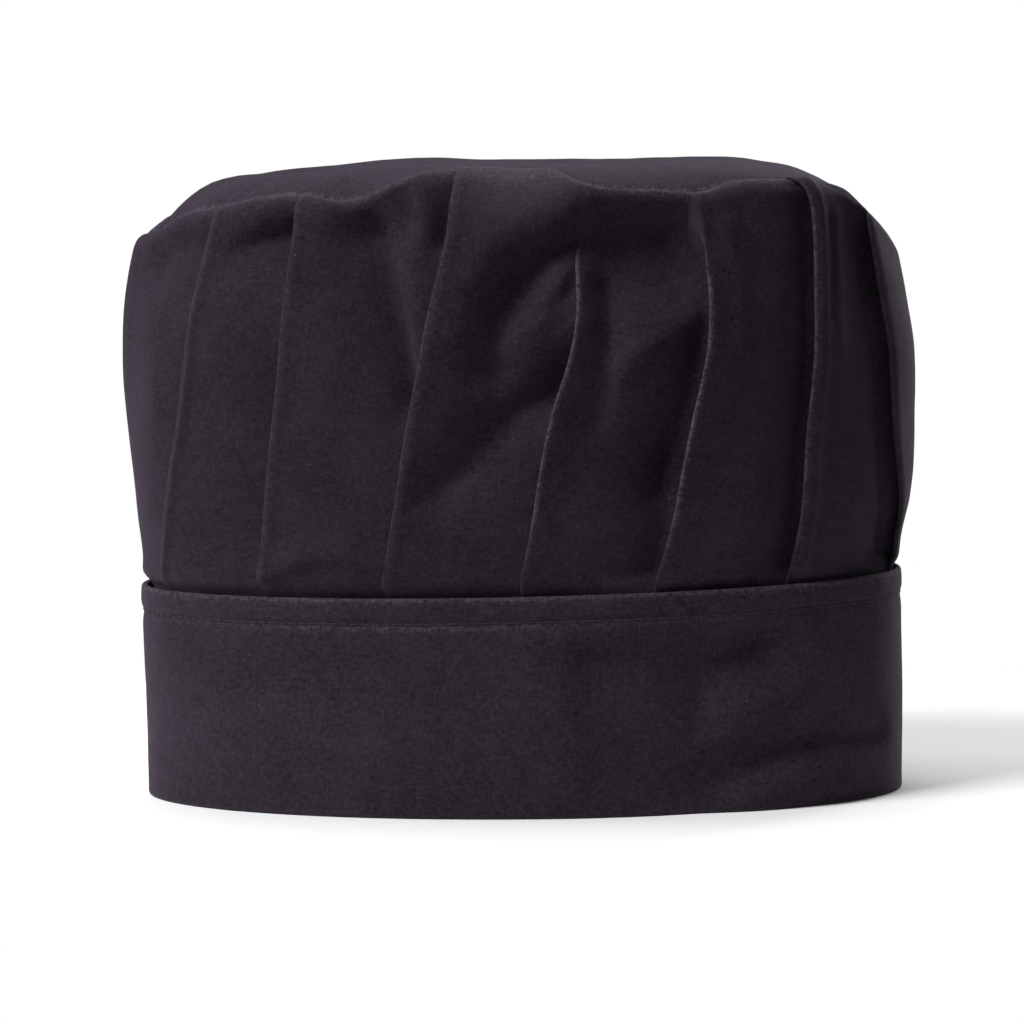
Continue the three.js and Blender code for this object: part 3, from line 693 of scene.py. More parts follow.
def cloth_grid(name, points, wear):
    """A grid that goes all the way round, bent to rows of points in millimetres, lowest row first"""
    rows, columns = points.shape[:2]
    start_clean()
    bpy.ops.mesh.primitive_grid_add(x_subdivisions=columns, y_subdivisions=rows - 1, size=1)
    obj = bpy.context.active_object
    obj.name = obj.data.name = name
    mesh = obj.data
    flat = np.empty(len(mesh.vertices) * 3)
    mesh.vertices.foreach_get("co", flat)
    flat = flat.reshape(-1, 3)
    col = np.rint((flat[:, 0] + 0.5) * columns).astype(int)
    row = np.rint((flat[:, 1] + 0.5) * (rows - 1)).astype(int)
    placed = points[row, col % columns] * MM
    placed[:, 0] += BAND_MIDDLE[0] * MM
    placed[:, 1] += BAND_MIDDLE[1] * MM
    mesh.vertices.foreach_set("co", placed.ravel())
    lay_threads(mesh, points, row, col)
    # How pale each point is painted: rubbed cotton, and painted highlights along the lips, the ridge and
    # the band's edges
    attribute = mesh.attributes.new("wear", "FLOAT", "POINT")
    attribute.data.foreach_set("value", wear[row, col % columns].astype(float))
    mesh.update()
    return obj


def lay_threads(mesh, points, row, col):
    """Lays the cloth's threads along and across the grid, measured in millimetres"""
    columns = points.shape[1]
    round_steps = np.linalg.norm(np.diff(points, axis=1, append=points[:, :1]), axis=2)
    along = np.concatenate([[0], np.cumsum(np.median(round_steps, axis=0))])
    up_steps = np.linalg.norm(np.diff(points, axis=0), axis=2)
    up = np.concatenate([np.zeros((1, columns)), np.cumsum(up_steps, axis=0)])
    while mesh.uv_layers:
        mesh.uv_layers.remove(mesh.uv_layers[0])
    layer = mesh.uv_layers.new(name="cloth")
    corner = each_corner(mesh)
    places = np.stack([along[col[corner]], up[row[corner], col[corner] % columns]], axis=1)
    layer.data.foreach_set("uv", places.ravel())


def close_grid():
    """Joins the ends of the active grid, and its pole"""
    bpy.ops.object.mode_set(mode="EDIT")
    bpy.ops.mesh.select_all(action="SELECT")
    bpy.ops.mesh.remove_doubles(threshold=JOIN_DISTANCE)
    bpy.ops.object.mode_set(mode="OBJECT")


def give_thickness(obj, thickness):
    solid = obj.modifiers.new("Cloth thickness", "SOLIDIFY")
    solid.thickness = thickness
    solid.offset = 0
    solid.use_rim = True
    bpy.ops.object.modifier_apply(modifier=solid.name)


def dress(obj, material, node=None):
    """Gives a finished piece its cloth and its place in the frame"""
    obj.data.materials.clear()
    obj.data.materials.append(material)
    bpy.ops.object.shade_smooth()
    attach(obj, "root")
    if node:
        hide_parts(node)


# Materials
def opaque(colour, tint=(1, 1, 1)):
    """A colour for a socket, with each of its parts taken times the tint's"""
    return tuple(part * share for part, share in zip(colour, tint)) + (1.0,)


class Nodes:
    """A few short ways to add and join the nodes of a material"""

    def __init__(self, name):
        self.material = bpy.data.materials.new(name)
        self.material.use_nodes = True
        self.tree = self.material.node_tree
        self.tree.nodes.clear()

    def add(self, kind, **settings):
        node = self.tree.nodes.new(kind)
        for name, value in settings.items():
            setattr(node, name, value)
        return node

    def join(self, source, target):
        self.tree.links.new(source, target)

    def put(self, socket, value):
        if isinstance(value, bpy.types.NodeSocket):
            self.join(value, socket)
        else:
            socket.default_value = value

    def math(self, operation, a, b=0.0, c=0.0, clamp=False):
        node = self.add("ShaderNodeMath", operation=operation, use_clamp=clamp)
        for socket, value in zip(node.inputs, (a, b, c)):
            self.put(socket, value)
        return node.outputs[0]

    def noise(self, vector, scale, detail=2.0, stretch=(1, 1, 1), shift=(0, 0, 0)):
        mapping = self.add("ShaderNodeMapping")
        mapping.inputs["Scale"].default_value = stretch
        mapping.inputs["Location"].default_value = shift
        self.join(vector, mapping.inputs["Vector"])
        node = self.add("ShaderNodeTexNoise")
        node.inputs["Scale"].default_value = scale
        node.inputs["Detail"].default_value = detail
        self.join(mapping.outputs[0], node.inputs["Vector"])
        return node.outputs["Fac"]

    def blend(self, share, a, b):
        node = self.add("ShaderNodeMix", data_type="RGBA")
        self.put(node.inputs["Factor"], share)
        self.put(node.inputs[6], a)
        self.put(node.inputs[7], b)
        return node.outputs[2]

    def ramp(self, value, low, high):
        node = self.add("ShaderNodeMapRange", clamp=True)
        node.inputs["From Min"].default_value = low
        node.inputs["From Max"].default_value = high
        self.join(value, node.inputs["Value"])
        return node.outputs[0]

    def bump(self, height, strength, distance):
        node = self.add("ShaderNodeBump")
        node.inputs["Strength"].default_value = strength
        node.inputs["Distance"].default_value = distance
        self.join(height, node.inputs["Height"])
        return node.outputs[0]

    def surface(self, inputs):
        """The finished material, with a value or another node's socket for each named input"""
        shader = self.add("ShaderNodeBsdfPrincipled")
        for name, value in inputs.items():
            self.put(shader.inputs[name], value)
        out = self.add("ShaderNodeOutputMaterial")
        self.join(shader.outputs[0], out.inputs["Surface"])
        return self.material


# How strongly each unevenness makes the cotton brighter or darker, its tints, and its lint
SLUB_CONTRAST = 1.3
GRAIN_CONTRAST = 1.9
FUZZ_CONTRAST = 0.5
BROAD_CONTRAST = 0.8
MOTTLE_CONTRAST = 0.7
COOL_TINT = (0.86, 1.08, 1.02)
WARM_TINT = (1.16, 0.94, 1.04)
# Painted shade in the grooves between the thread's twisted strands
GROOVE_SHADE_TINT = (0.6, 0.6, 0.6)
LINT_SIZE = 0.07
LINT_RARITY = 0.88
LINT_STRENGTH = 0.45


def woven_cotton(name, finish, colour, seed):
    """Plain-weave cotton: threads over and under, uneven threads, faded patches, lint, painted shade in the
    weave's hollows, and edges painted paler for rubbed cotton and as painted highlights
    """
    n = Nodes(name)
    uv = n.add("ShaderNodeUVMap", uv_map="cloth").outputs[0]
    apart = n.add("ShaderNodeSeparateXYZ")
    n.join(uv, apart.inputs[0])
    shift = (13.7 * seed, 5.3 * seed, 0)
    # Threads wander a little, so that the weave isn't a ruled grid
    wander = n.noise(uv, 0.35, 2.0, shift=shift)
    wander = n.math("MULTIPLY_ADD", wander, 0.9, -0.45)
    turn = math.pi / (finish.weave_pitch / MM)
    warp = n.math("SINE", n.math("MULTIPLY", n.math("ADD", apart.outputs[0], wander), turn))
    weft = n.math("SINE", n.math("MULTIPLY", n.math("ADD", apart.outputs[1], wander), turn))
    over = n.math("GREATER_THAN", n.math("MULTIPLY", warp, weft), 0.0)
    warp_height = n.math("MULTIPLY", n.math("ABSOLUTE", warp), over)
    weft_height = n.math("MULTIPLY", n.math("ABSOLUTE", weft), n.math("SUBTRACT", 1.0, over))
    weave = n.math("ADD", warp_height, weft_height)
    # Thicker and thinner stretches of thread, along and across
    slub_warp = n.noise(uv, 1.0, 2.0, stretch=(2.4, 0.35, 1), shift=shift)
    slub_weft = n.noise(uv, 1.0, 2.0, stretch=(0.35, 2.4, 1), shift=shift)
    slubs = n.math("ADD", slub_warp, slub_weft)
    grain = n.noise(uv, 0.75, 3.0, shift=shift)
    fuzz = n.noise(uv, 3.2, 2.0, shift=shift)
    broad = n.noise(uv, 0.045, 3.0, shift=shift)
    mottle = n.noise(uv, 0.19, 2.0, shift=(shift[1], shift[0], 0))
    tint = n.noise(uv, 0.6, 1.0, shift=(shift[1], shift[0], 0))
    # Brightness
    level = 1.0
    for uneven, middle, contrast in ((slubs, 1.0, SLUB_CONTRAST), (grain, 0.5, GRAIN_CONTRAST),
                                     (fuzz, 0.5, FUZZ_CONTRAST), (broad, 0.5, BROAD_CONTRAST),
                                     (mottle, 0.5, MOTTLE_CONTRAST)):
        level = n.math("MULTIPLY_ADD", n.math("SUBTRACT", uneven, middle), contrast, level)
    # Painted shade: the hollows between the woven threads are darker and the thread crowns lighter
    level = n.math("MULTIPLY", level, n.math("MULTIPLY_ADD", weave, 0.3, 0.8))
    hue = n.blend(n.ramp(tint, 0.35, 0.65), opaque(colour, COOL_TINT), opaque(colour, WARM_TINT))
    hue = n.blend(0.4, hue, opaque(colour))
    # Edges are painted paler, partly for rubbed cotton and partly as painted highlights along the lips, the
    # ridge and the band's edges, and lint is paler
    worn_and_highlight = n.add("ShaderNodeAttribute", attribute_name="wear").outputs["Fac"]
    worn_and_highlight = n.math("MULTIPLY", worn_and_highlight, n.ramp(grain, 0.25, 0.6))
    worn_and_highlight = n.math("MULTIPLY", worn_and_highlight, finish.edge_wear_and_highlight, clamp=True)
    hue = n.blend(worn_and_highlight, hue, opaque(finish.worn_and_highlight_colour))
    lint = n.add("ShaderNodeTexVoronoi", feature="F1", distance="EUCLIDEAN")
    lint.inputs["Scale"].default_value = 0.32
    lint_place = n.add("ShaderNodeMapping")
    lint_place.inputs["Location"].default_value = shift
    lint_place.inputs["Scale"].default_value = (1.0, 0.7, 1)
    n.join(uv, lint_place.inputs["Vector"])
    n.join(lint_place.outputs[0], lint.inputs["Vector"])
    speck = n.math("LESS_THAN", lint.outputs["Distance"], LINT_SIZE)
    chosen = n.add("ShaderNodeSeparateColor")
    n.join(lint.outputs["Color"], chosen.inputs[0])
    speck = n.math("MULTIPLY", speck, n.math("GREATER_THAN", chosen.outputs[0], LINT_RARITY))
    hue = n.blend(n.math("MULTIPLY", speck, LINT_STRENGTH), hue, opaque(finish.lint_colour))
    scaled = n.add("ShaderNodeVectorMath", operation="SCALE")
    n.join(hue, scaled.inputs[0])
    n.join(level, scaled.inputs["Scale"])
    # Relief of the weave and of the uneven threads
    relief = n.math("MULTIPLY_ADD", slubs, 0.8, n.math("MULTIPLY", weave, 0.7))
    relief = n.math("MULTIPLY_ADD", grain, 1.2, relief)
    return n.surface({
        "Base Color": scaled.outputs[0],
        "Roughness": n.math("MULTIPLY_ADD", grain, 0.16, 0.76),
        "Normal": n.bump(relief, 0.75, 0.00012),
        "Specular IOR Level": 0.1,
        "Sheen Weight": finish.sheen,
        "Sheen Roughness": 0.45,
        "Sheen Tint": (0.9, 0.68, 0.98, 1.0),
    })


def sewing_thread(finish):
    """Twisted cotton thread of the topstitching, with painted shade in the grooves between its strands"""
    n = Nodes("sewing_thread")
    place = n.add("ShaderNodeTexCoord").outputs["Object"]
    strands = n.add("ShaderNodeTexWave", wave_type="BANDS", bands_direction="DIAGONAL")
    strands.inputs["Scale"].default_value = 1100
    strands.inputs["Distortion"].default_value = 1.5
    n.join(place, strands.inputs["Vector"])
    fibre = n.noise(place, 2600, 2.0)
    # The grooves of the twist are painted in shade
    groove_shade = opaque(finish.thread_colour, GROOVE_SHADE_TINT)
    hue = n.blend(strands.outputs["Fac"], groove_shade, opaque(finish.thread_colour))
    hue = n.blend(n.math("MULTIPLY", fibre, 0.06), hue, opaque(finish.worn_and_highlight_colour))
    return n.surface({
        "Base Color": hue,
        "Roughness": n.math("MULTIPLY_ADD", fibre, 0.2, 0.55),
        "Normal": n.bump(strands.outputs["Fac"], 0.6, 0.00008),
        "Specular IOR Level": 0.15,
        "Sheen Weight": 0.05,
    })


def plain_finish(name, colour, roughness):
    return Nodes(name).surface({"Base Color": opaque(colour), "Roughness": roughness})


# Band: how its section is divided, from the lower edge up and from the folded edge down
BAND_COLUMNS = 404
LOWER_ROWS = (2.2, 4.4, 7.4, 10.8)
OUTER_ROWS = np.concatenate([np.linspace(54, 14, 21), np.linspace(13, 1.2, 20)])
INNER_ROWS = np.linspace(0.96, 0.04, 14)
BEND_STEPS = 6
# The stitches draw the cloth in, less between two of them, over a width above and below their line.
# The channel above them stands proud, and the cloth puckers just below them.
STITCH_DIP = 0.6
DIP_WIDTH_ABOVE = 1.1
DIP_WIDTH_BELOW = 2.4
STITCH_PULL = 0.15
CHANNEL_PUFF = 0.2
PUCKERS_BELOW = 1.5
PUCKER_WIDTH = 2.5
# The stretches of the band's height, as shares, over which the folds come in and go out again,
# because the sewn edges hold them back
FOLDS_IN = (-0.08, 0.2)
FOLDS_OUT = (0.79, 0.9)
# How pale the band is painted: its folded edge outside and inside, for rubbed cotton and a painted
# highlight, its lower edge outside and inside, for rubbed cotton, just below the fold, for rubbed cotton
# and a painted highlight, and the bulge below the stitches, a painted highlight most to the left of the
# middle, where the key light falls, and least at the right
FOLDED_EDGE_RUB_AND_HIGHLIGHT = (0.42, 0.2)
LOWER_EDGE_RUB = (0.05, 0.2)
NEAR_EDGE_RUB_AND_HIGHLIGHT = 0.1
BULGE_HIGHLIGHT = 0.36
BULGE_HIGHLIGHT_BELOW = 1.3
BULGE_HIGHLIGHT_WIDTH = 0.9
MOST_LIT = -38
MOST_LIT_WIDTH = 34
LEAST_LIT = (60, 85)


def band_swell(along, height, sizes, stitched):
    """How far the band's outer face stands off its plain oval"""
    angle = angle_at(along)
    share = height / band_top(angle)
    off = BAND_FLARE * share ** 2 * np.maximum(0, -np.sin(angle)) ** 4
    body = np.sin(math.pi * np.clip(share, 0, 1))
    free = within(FOLDS_IN, share) * (1 - within(FOLDS_OUT, share))
    off = off + fold_push(BAND_FOLDS, near_front(along), height) * free
    off = off + wrinkles(along, height, BAND_WRINKLES, GIRTH) * np.sqrt(np.maximum(body, 0))
    if stitched:
        below = band_top(angle) - height
        line = sizes.stitch_line / MM
        pitch = sizes.stitch_pitch / MM
        pull = 1 - STITCH_PULL + STITCH_PULL * np.cos(2 * math.pi * along / pitch)
        width = np.where(below < line, DIP_WIDTH_ABOVE, DIP_WIDTH_BELOW)
        off = off - STITCH_DIP * pull * np.exp(-((below - line) / width) ** 2)
        channel = np.sin(math.pi * np.clip((below - 0.8) / (line - 0.8), 0, 1))
        off = off + CHANNEL_PUFF * channel * (1 + wrinkles(along, height, CHANNEL_GATHERS, GIRTH))
        puckered = np.exp(-((below - line - PUCKERS_BELOW) / PUCKER_WIDTH) ** 2)
        off = off + wrinkles(along, height, STITCH_PUCKERS, GIRTH) * puckered
    return off


BandRow = namedtuple("BandRow", "height inward stitched rub")


def band_rows(top):
    """The band's section, up the outer face, over the fold, down inside and round the lower edge"""
    bend = BAND_WALL / 2
    turns = [math.pi * step / BEND_STEPS for step in range(BEND_STEPS + 1)]
    level = np.ones_like(top)
    rows = [BandRow(bend * level, 0.0, True, LOWER_EDGE_RUB[0])]
    rows += [BandRow(height * level, 0.0, True, 0.0) for height in LOWER_ROWS]
    # Rows near and over the folded edge are painted paler: rubbed cotton and a painted highlight
    rows += [BandRow(top - below, 0.0, True, NEAR_EDGE_RUB_AND_HIGHLIGHT if below < 1.9 else 0.0) for below in OUTER_ROWS]
    rows += [BandRow(top - bend + bend * math.sin(turn), -bend * (1 - math.cos(turn)), step < 3,
                     FOLDED_EDGE_RUB_AND_HIGHLIGHT[0 if step < 4 else 1]) for step, turn in enumerate(turns)]
    rows += [BandRow(mix(bend, top - bend, share), -float(BAND_WALL), False, 0.0) for share in INNER_ROWS]
    rows += [BandRow((bend - bend * math.sin(turn)) * level, -BAND_WALL + bend * (1 - math.cos(turn)),
                     False, LOWER_EDGE_RUB[1]) for turn in turns[:-1]]
    return rows


def band_points(sizes):
    """The band's rows of points, closed into a ring of cloth, and how pale each point is painted, for
    rubbed cotton and for painted highlights
    """
    along = (np.arange(BAND_COLUMNS) / BAND_COLUMNS - 0.5) * GIRTH
    angle = angle_at(along)
    top = band_top(angle)
    rows = band_rows(top)
    rows.append(rows[0])
    near = near_front(along)
    # Painted highlight on the bulge below the stitches, strongest left of the middle where the key light
    # falls
    strength = mix(0.35, 1, np.exp(-((near - MOST_LIT) / MOST_LIT_WIDTH) ** 2))
    strength = BULGE_HIGHLIGHT * strength * (1 - 0.8 * within(LEAST_LIT, near))
    points, wear = [], []
    for row in rows:
        swell = band_swell(along, row.height, sizes, row.stitched) + row.inward
        points.append(np.stack([*on_band(angle, swell), row.height], axis=-1))
        rub = np.full_like(along, row.rub)
        if row.stitched:
            past = (top - row.height - sizes.stitch_line / MM - BULGE_HIGHLIGHT_BELOW) / BULGE_HIGHLIGHT_WIDTH
            uneven = 1 + wrinkles(along, row.height, UNEVEN_HIGHLIGHT, GIRTH)
            rub = np.maximum(rub, strength * uneven * np.exp(-past ** 2))
        wear.append(rub)
    return np.array(points), np.array(wear)


# Top panel
TOP_COLUMNS = 360
TOP_STEPS = (0, 0.5, 1.0, 1.5, 2.1, 2.9, 3.9, 5.2, 6.8, 8.8, 11.2)
TOP_INNER_RINGS = 42
TOP_EDGE_POWER = 8
# The rim lies deep in the seam's groove, a little off the wall, and rolls up out of it into a bulge
# with small gathers. Near its edge it is painted paler, partly for rubbed cotton and partly as a painted
# highlight along the ridge.
GROOVE_DEPTH = 1.1
SEAM_GAP = 0.06
ROLL_WIDTH = 0.7
EDGE_BULGE = 0.9
EDGE_BULGE_WIDTH = 4
GATHER_WIDTH = 7
TOP_RUB_AND_HIGHLIGHT = 0.5
TOP_RUB_AND_HIGHLIGHT_PLACE = 0.9


def top_height(x, y):
    height = TOP_HEIGHT
    for dent in TOP_DENTS:
        height = height + dent.push * np.exp(-((x - dent.x) ** 2 + (y - dent.y) ** 2) / dent.spread ** 2)
    return height + wrinkles(x, y, TOP_WRINKLES)


def top_points(wall, sizes):
    """Rings of the top panel, from deep in the seam's groove inwards to the middle"""
    seam, level, reach, along = wall.seam_line(TOP_COLUMNS)
    roll = sizes.seam_roll / MM
    gap = sizes.cloth_thickness / MM + SEAM_GAP
    rim = seam - level * (reach + gap)[:, None]
    rim[:, 2] = seam[:, 2] - roll + 0.25 * (reach - roll)
    distance = np.hypot(rim[:, 0], rim[:, 1])
    ways = rim[:, :2] / distance[:, None]
    shares = [value / 100 for value in TOP_STEPS]
    last = shares[-1]
    shares += [mix(last, 1, (step / TOP_INNER_RINGS) ** 0.9) for step in range(1, TOP_INNER_RINGS + 1)]
    rings, worn_and_highlight = [], []
    for inward in shares:
        in_mm = inward * distance
        xy = ways * (distance - in_mm)[:, None]
        rise = 1 - (1 - inward) ** TOP_EDGE_POWER
        height = mix(rim[:, 2], top_height(xy[:, 0], xy[:, 1]), rise)
        bulge = 1 - np.exp(-in_mm / ROLL_WIDTH)
        gathers = wrinkles(along, np.zeros_like(along), TOP_GATHERS, GIRTH)
        edge = EDGE_BULGE * np.exp(-in_mm / EDGE_BULGE_WIDTH) + gathers * np.exp(-in_mm / GATHER_WIDTH)
        height = height - GROOVE_DEPTH * (1 - bulge) + edge * bulge
        rings.append(np.column_stack([xy, height]))
        # Painted paler near the rim: rubbed cotton and a painted highlight along the ridge
        worn_and_highlight.append(TOP_RUB_AND_HIGHLIGHT * np.exp(-((in_mm - TOP_RUB_AND_HIGHLIGHT_PLACE) / ROLL_WIDTH) ** 2))
    return np.array(rings), np.array(worn_and_highlight)


# Sizes and colours that can be changed
class ChefHatSizes(bpy.types.PropertyGroup):
    """Sizes of the hat's cloth and sewing"""

    cloth_thickness: FloatProperty(
        name="Cloth thickness", description="Thickness of one layer of the crown's cotton",
        default=0.0004, min=0.0002, max=0.0012, unit="LENGTH")
    pleat_depth: FloatProperty(
        name="Pleat depth", description="How far the cloth is folded away below each pleat",
        default=0.009, min=0.003, max=0.012, unit="LENGTH")
    pleat_roll: FloatProperty(
        name="Pleat roll", description="How wide the rounded edge of a pleat's lip is",
        default=0.0006, min=0.0003, max=0.002, unit="LENGTH")
    seam_roll: FloatProperty(
        name="Seam roll", description="Radius of the wall's edge where it turns into the ridge seam",
        default=0.0009, min=0.0003, max=0.002, unit="LENGTH")
    stitch_line: FloatProperty(
        name="Stitch line", description="Distance of the topstitching from the band's folded edge",
        default=0.0078, min=0.003, max=0.02, unit="LENGTH")
    stitch_pitch: FloatProperty(
        name="Stitch pitch", description="Distance from one stitch to the next",
        default=GIRTH * MM / 180, min=0.002, max=0.006, unit="LENGTH")
    stitch_length: FloatProperty(
        name="Stitch length", description="Length of one stitch that shows",
        default=0.0028, min=0.001, max=0.005, unit="LENGTH")
    thread_thickness: FloatProperty(
        name="Thread thickness", description="Thickness of the sewing thread",
        default=0.00042, min=0.0002, max=0.001, unit="LENGTH")


class ChefHatFinish(bpy.types.PropertyGroup):
    """Colours and surface of the hat and of the studio"""

    band_colour: FloatVectorProperty(
        name="Band cloth", description="Colour of the band's dyed cotton", subtype="COLOR", size=3,
        default=(0.0169, 0.0118, 0.0184), min=0, max=1)
    # The crown's cotton is the band's painted about an eighth darker: painted shade for the crown, whose
    # wall leans out over the band
    shaded_crown_colour: FloatVectorProperty(
        name="Crown cloth", description="Colour of the crown's dyed cotton", subtype="COLOR", size=3,
        default=(0.0148, 0.0103, 0.0162), min=0, max=1)
    # Paler colour for rubbed edges, which also paints the highlights along the lips, the ridge and the
    # band's edges, and pales the thread's fibres
    worn_and_highlight_colour: FloatVectorProperty(
        name="Worn edges", description="Colour of the cotton where its edges are rubbed", subtype="COLOR",
        size=3, default=(0.11, 0.1, 0.12), min=0, max=1)
    lint_colour: FloatVectorProperty(
        name="Lint", description="Colour of the lint that lies on the cloth", subtype="COLOR", size=3,
        default=(0.1, 0.09, 0.11), min=0, max=1)
    thread_colour: FloatVectorProperty(
        name="Thread", description="Colour of the sewing thread", subtype="COLOR", size=3,
        default=(0.023, 0.017, 0.025), min=0, max=1)
    floor_colour: FloatVectorProperty(
        name="Floor", description="Colour of the studio floor", subtype="COLOR", size=3,
        default=(0.75, 0.75, 0.755), min=0, max=1)
    weave_pitch: FloatProperty(
        name="Weave pitch", description="Distance from one thread of the weave to the next",
        default=0.00046, min=0.0002, max=0.002, unit="LENGTH")
    # How pale the marked edges are painted, for rubbed cotton and for painted highlights
    edge_wear_and_highlight: FloatProperty(
        name="Edge wear", description="How pale the rubbed edges are", default=0.5, min=0, max=1,
        subtype="FACTOR")
    sheen: FloatProperty(
        name="Sheen", description="Strength of the cotton's soft sheen", default=0.07, min=0, max=1,
        subtype="FACTOR")


def hat_cloth(finish):
    """The crown's cotton, painted darker than the band's as shade on the crown, made once for its two
    pieces
    """
    made = bpy.data.materials.get("crown_cotton")
    return made or woven_cotton("crown_cotton", finish, finish.shaded_crown_colour, 1)


class CHEFHAT_OT_band(bpy.types.Operator):
    """Makes the doubled band with its folded edge and the channel above its stitch line"""

    bl_idname = "chefhat.band"
    bl_label = "Band"

    def execute(self, context):
        sizes, finish = context.scene.chefhat_sizes, context.scene.chefhat_finish
        points, wear = band_points(sizes)
        band = cloth_grid("hat_band", points, wear)
        close_grid()
        dress(band, woven_cotton("band_cotton", finish, finish.band_colour, 2), "band")
        return {"FINISHED"}


# How far the thread's middle lies over the cloth, as a share of its thickness
THREAD_PROUD = 0.12
# The steps in which a stitch's end goes on, dives and narrows
STITCH_ENDS = ((0.25, 0.1, 0.92), (0.2, 0.32, 0.6))


class CHEFHAT_OT_topstitching(bpy.types.Operator):
    """Sews the line of stitches below the band's folded edge"""

    bl_idname = "chefhat.topstitching"
    bl_label = "Topstitching"

    def execute(self, context):
        sizes, finish = context.scene.chefhat_sizes, context.scene.chefhat_finish
        pattern = self.one_stitch(sizes)
        pitch = sizes.stitch_pitch / MM
        line = sizes.stitch_line / MM
        stitches = []
        for number in range(round(GIRTH / pitch)):
            along = np.array([(number + 0.5) * pitch - GIRTH / 2])
            angle = float(angle_at(along)[0])
            height = band_top(angle) - line
            off = float(band_swell(along, np.array([height]), sizes, True)[0])
            off += THREAD_PROUD * sizes.thread_thickness / MM
            x, y = on_band(angle, off)
            side_x, side_y = oval_side(BAND_HALF_WIDTH, BAND_HALF_DEPTH, angle)
            place = Vector((x + BAND_MIDDLE[0], y + BAND_MIDDLE[1], height)) * MM
            turn = Matrix(((-side_y, side_x, 0), (side_x, side_y, 0), (0, 0, 1))).transposed().to_4x4()
            stitch = pattern.copy()
            stitch.data = pattern.data.copy()
            stitch.data.transform(Matrix.Translation(place) @ turn)
            bpy.context.collection.objects.link(stitch)
            stitches.append(stitch)
        bpy.data.objects.remove(pattern)
        start_clean()
        for stitch in stitches:
            stitch.select_set(True)
        context.view_layer.objects.active = stitches[0]
        bpy.ops.object.join()
        joined = context.active_object
        joined.name = joined.data.name = "band_topstitch"
        dress(joined, sewing_thread(finish))
        # The doubled cloth counts as one sheet, folded from a strip twice as high
        return {"FINISHED"}

    def one_stitch(self, sizes):
        """A short stretch of thread whose ends dive into the cloth"""
        half = sizes.stitch_length / 2
        thick = sizes.thread_thickness
        start_clean()
        bpy.ops.mesh.primitive_cylinder_add(vertices=8, radius=thick / 2, depth=half * 1.1,
                                            rotation=(0, math.pi / 2, 0))
        stitch = bpy.context.active_object
        bpy.ops.object.transform_apply(location=True, rotation=True, scale=True)
        bpy.ops.object.mode_set(mode="EDIT")
        bpy.ops.mesh.select_mode(type="FACE")
        for end in (1, -1):
            bpy.ops.mesh.select_all(action="DESELECT")
            bpy.ops.object.mode_set(mode="OBJECT")
            for face in stitch.data.polygons:
                face.select = face.normal.x * end > 0.9
            bpy.ops.object.mode_set(mode="EDIT")
            for reach, dive, size in STITCH_ENDS:
                bpy.ops.mesh.extrude_region_move(
                    TRANSFORM_OT_translate={"value": (end * half * reach, -thick * dive, 0)})
                bpy.ops.transform.resize(value=(size, size, size))
        bpy.ops.mesh.select_all(action="SELECT")
        bpy.ops.mesh.normals_make_consistent(inside=False)
        bpy.ops.object.mode_set(mode="OBJECT")
        return stitch


# How pale the wall's edge is painted where it turns in at the ridge seam, row by row: partly rubbed cotton,
# partly a painted highlight along the ridge
RIDGE_RUB_AND_HIGHLIGHT = (0.32, 0.25, 0.1, 0.0)
RIDGE_RUB_AND_HIGHLIGHT_START = (0.95, 0.98)


class CHEFHAT_OT_crown_side(bpy.types.Operator):
    """Makes the pleated wall of the crown with the cloth folded away below each pleat"""

    bl_idname = "chefhat.crown_side"
    bl_label = "Crown Side"

    def execute(self, context):
        sizes, finish = context.scene.chefhat_sizes, context.scene.chefhat_finish
        wall = WallCloth(sizes)
        rows = wall.points.shape[0]
        # The ridge edge is painted paler: rubbed cotton and a painted highlight along the ridge
        ridge = np.zeros(rows)
        ridge[:len(wall.rise)] = RIDGE_RUB_AND_HIGHLIGHT[0] * within(RIDGE_RUB_AND_HIGHLIGHT_START, wall.rise)
        ridge[len(wall.rise):] = RIDGE_RUB_AND_HIGHLIGHT
        lips = np.array(wall.wear).T
        lips = np.concatenate([lips, np.repeat(lips[-1:], rows - len(lips), axis=0)])
        wear = np.maximum(lips, ridge[:, None])
        side = cloth_grid("hat_crown_side", wall.points, wear)
        close_grid()
        give_thickness(side, sizes.cloth_thickness)
        dress(side, hat_cloth(finish), "crown_side")
        return {"FINISHED"}


class CHEFHAT_OT_crown_top(bpy.types.Operator):
    """Makes the slumped top panel, sewn in along the ridge seam"""

    bl_idname = "chefhat.crown_top"
    bl_label = "Crown Top"

    def execute(self, context):
        sizes, finish = context.scene.chefhat_sizes, context.scene.chefhat_finish
        points, wear = top_points(WallCloth(sizes), sizes)
        top = cloth_grid("hat_crown_top", points, wear)
        lie_flat(top)
        close_grid()
        give_thickness(top, sizes.cloth_thickness)
        dress(top, hat_cloth(finish), "crown_top")
        return {"FINISHED"}


def lie_flat(obj):
    """Lets the threads of a panel run straight across it, as it was cut"""
    mesh = obj.data
    places = np.empty(len(mesh.vertices) * 3)
    mesh.vertices.foreach_get("co", places)
    flat = places.reshape(-1, 3)[each_corner(mesh), :2] / MM
    mesh.uv_layers["cloth"].data.foreach_set("uv", flat.ravel())


# Studio: the camera's place and its aim, in millimetres
CAMERA_PLACE = (-2.55, -1999.38, 267)
CAMERA_AIM = (-2.55, 0.62, 87)
CAMERA_ROLL = math.radians(-0.53)
FOCAL_PIXELS = 6428
IMAGE_SIZE = 1024
SENSOR = 36
ROOM_LIGHT = 0.125
BACKDROP_LIGHT = 1.0

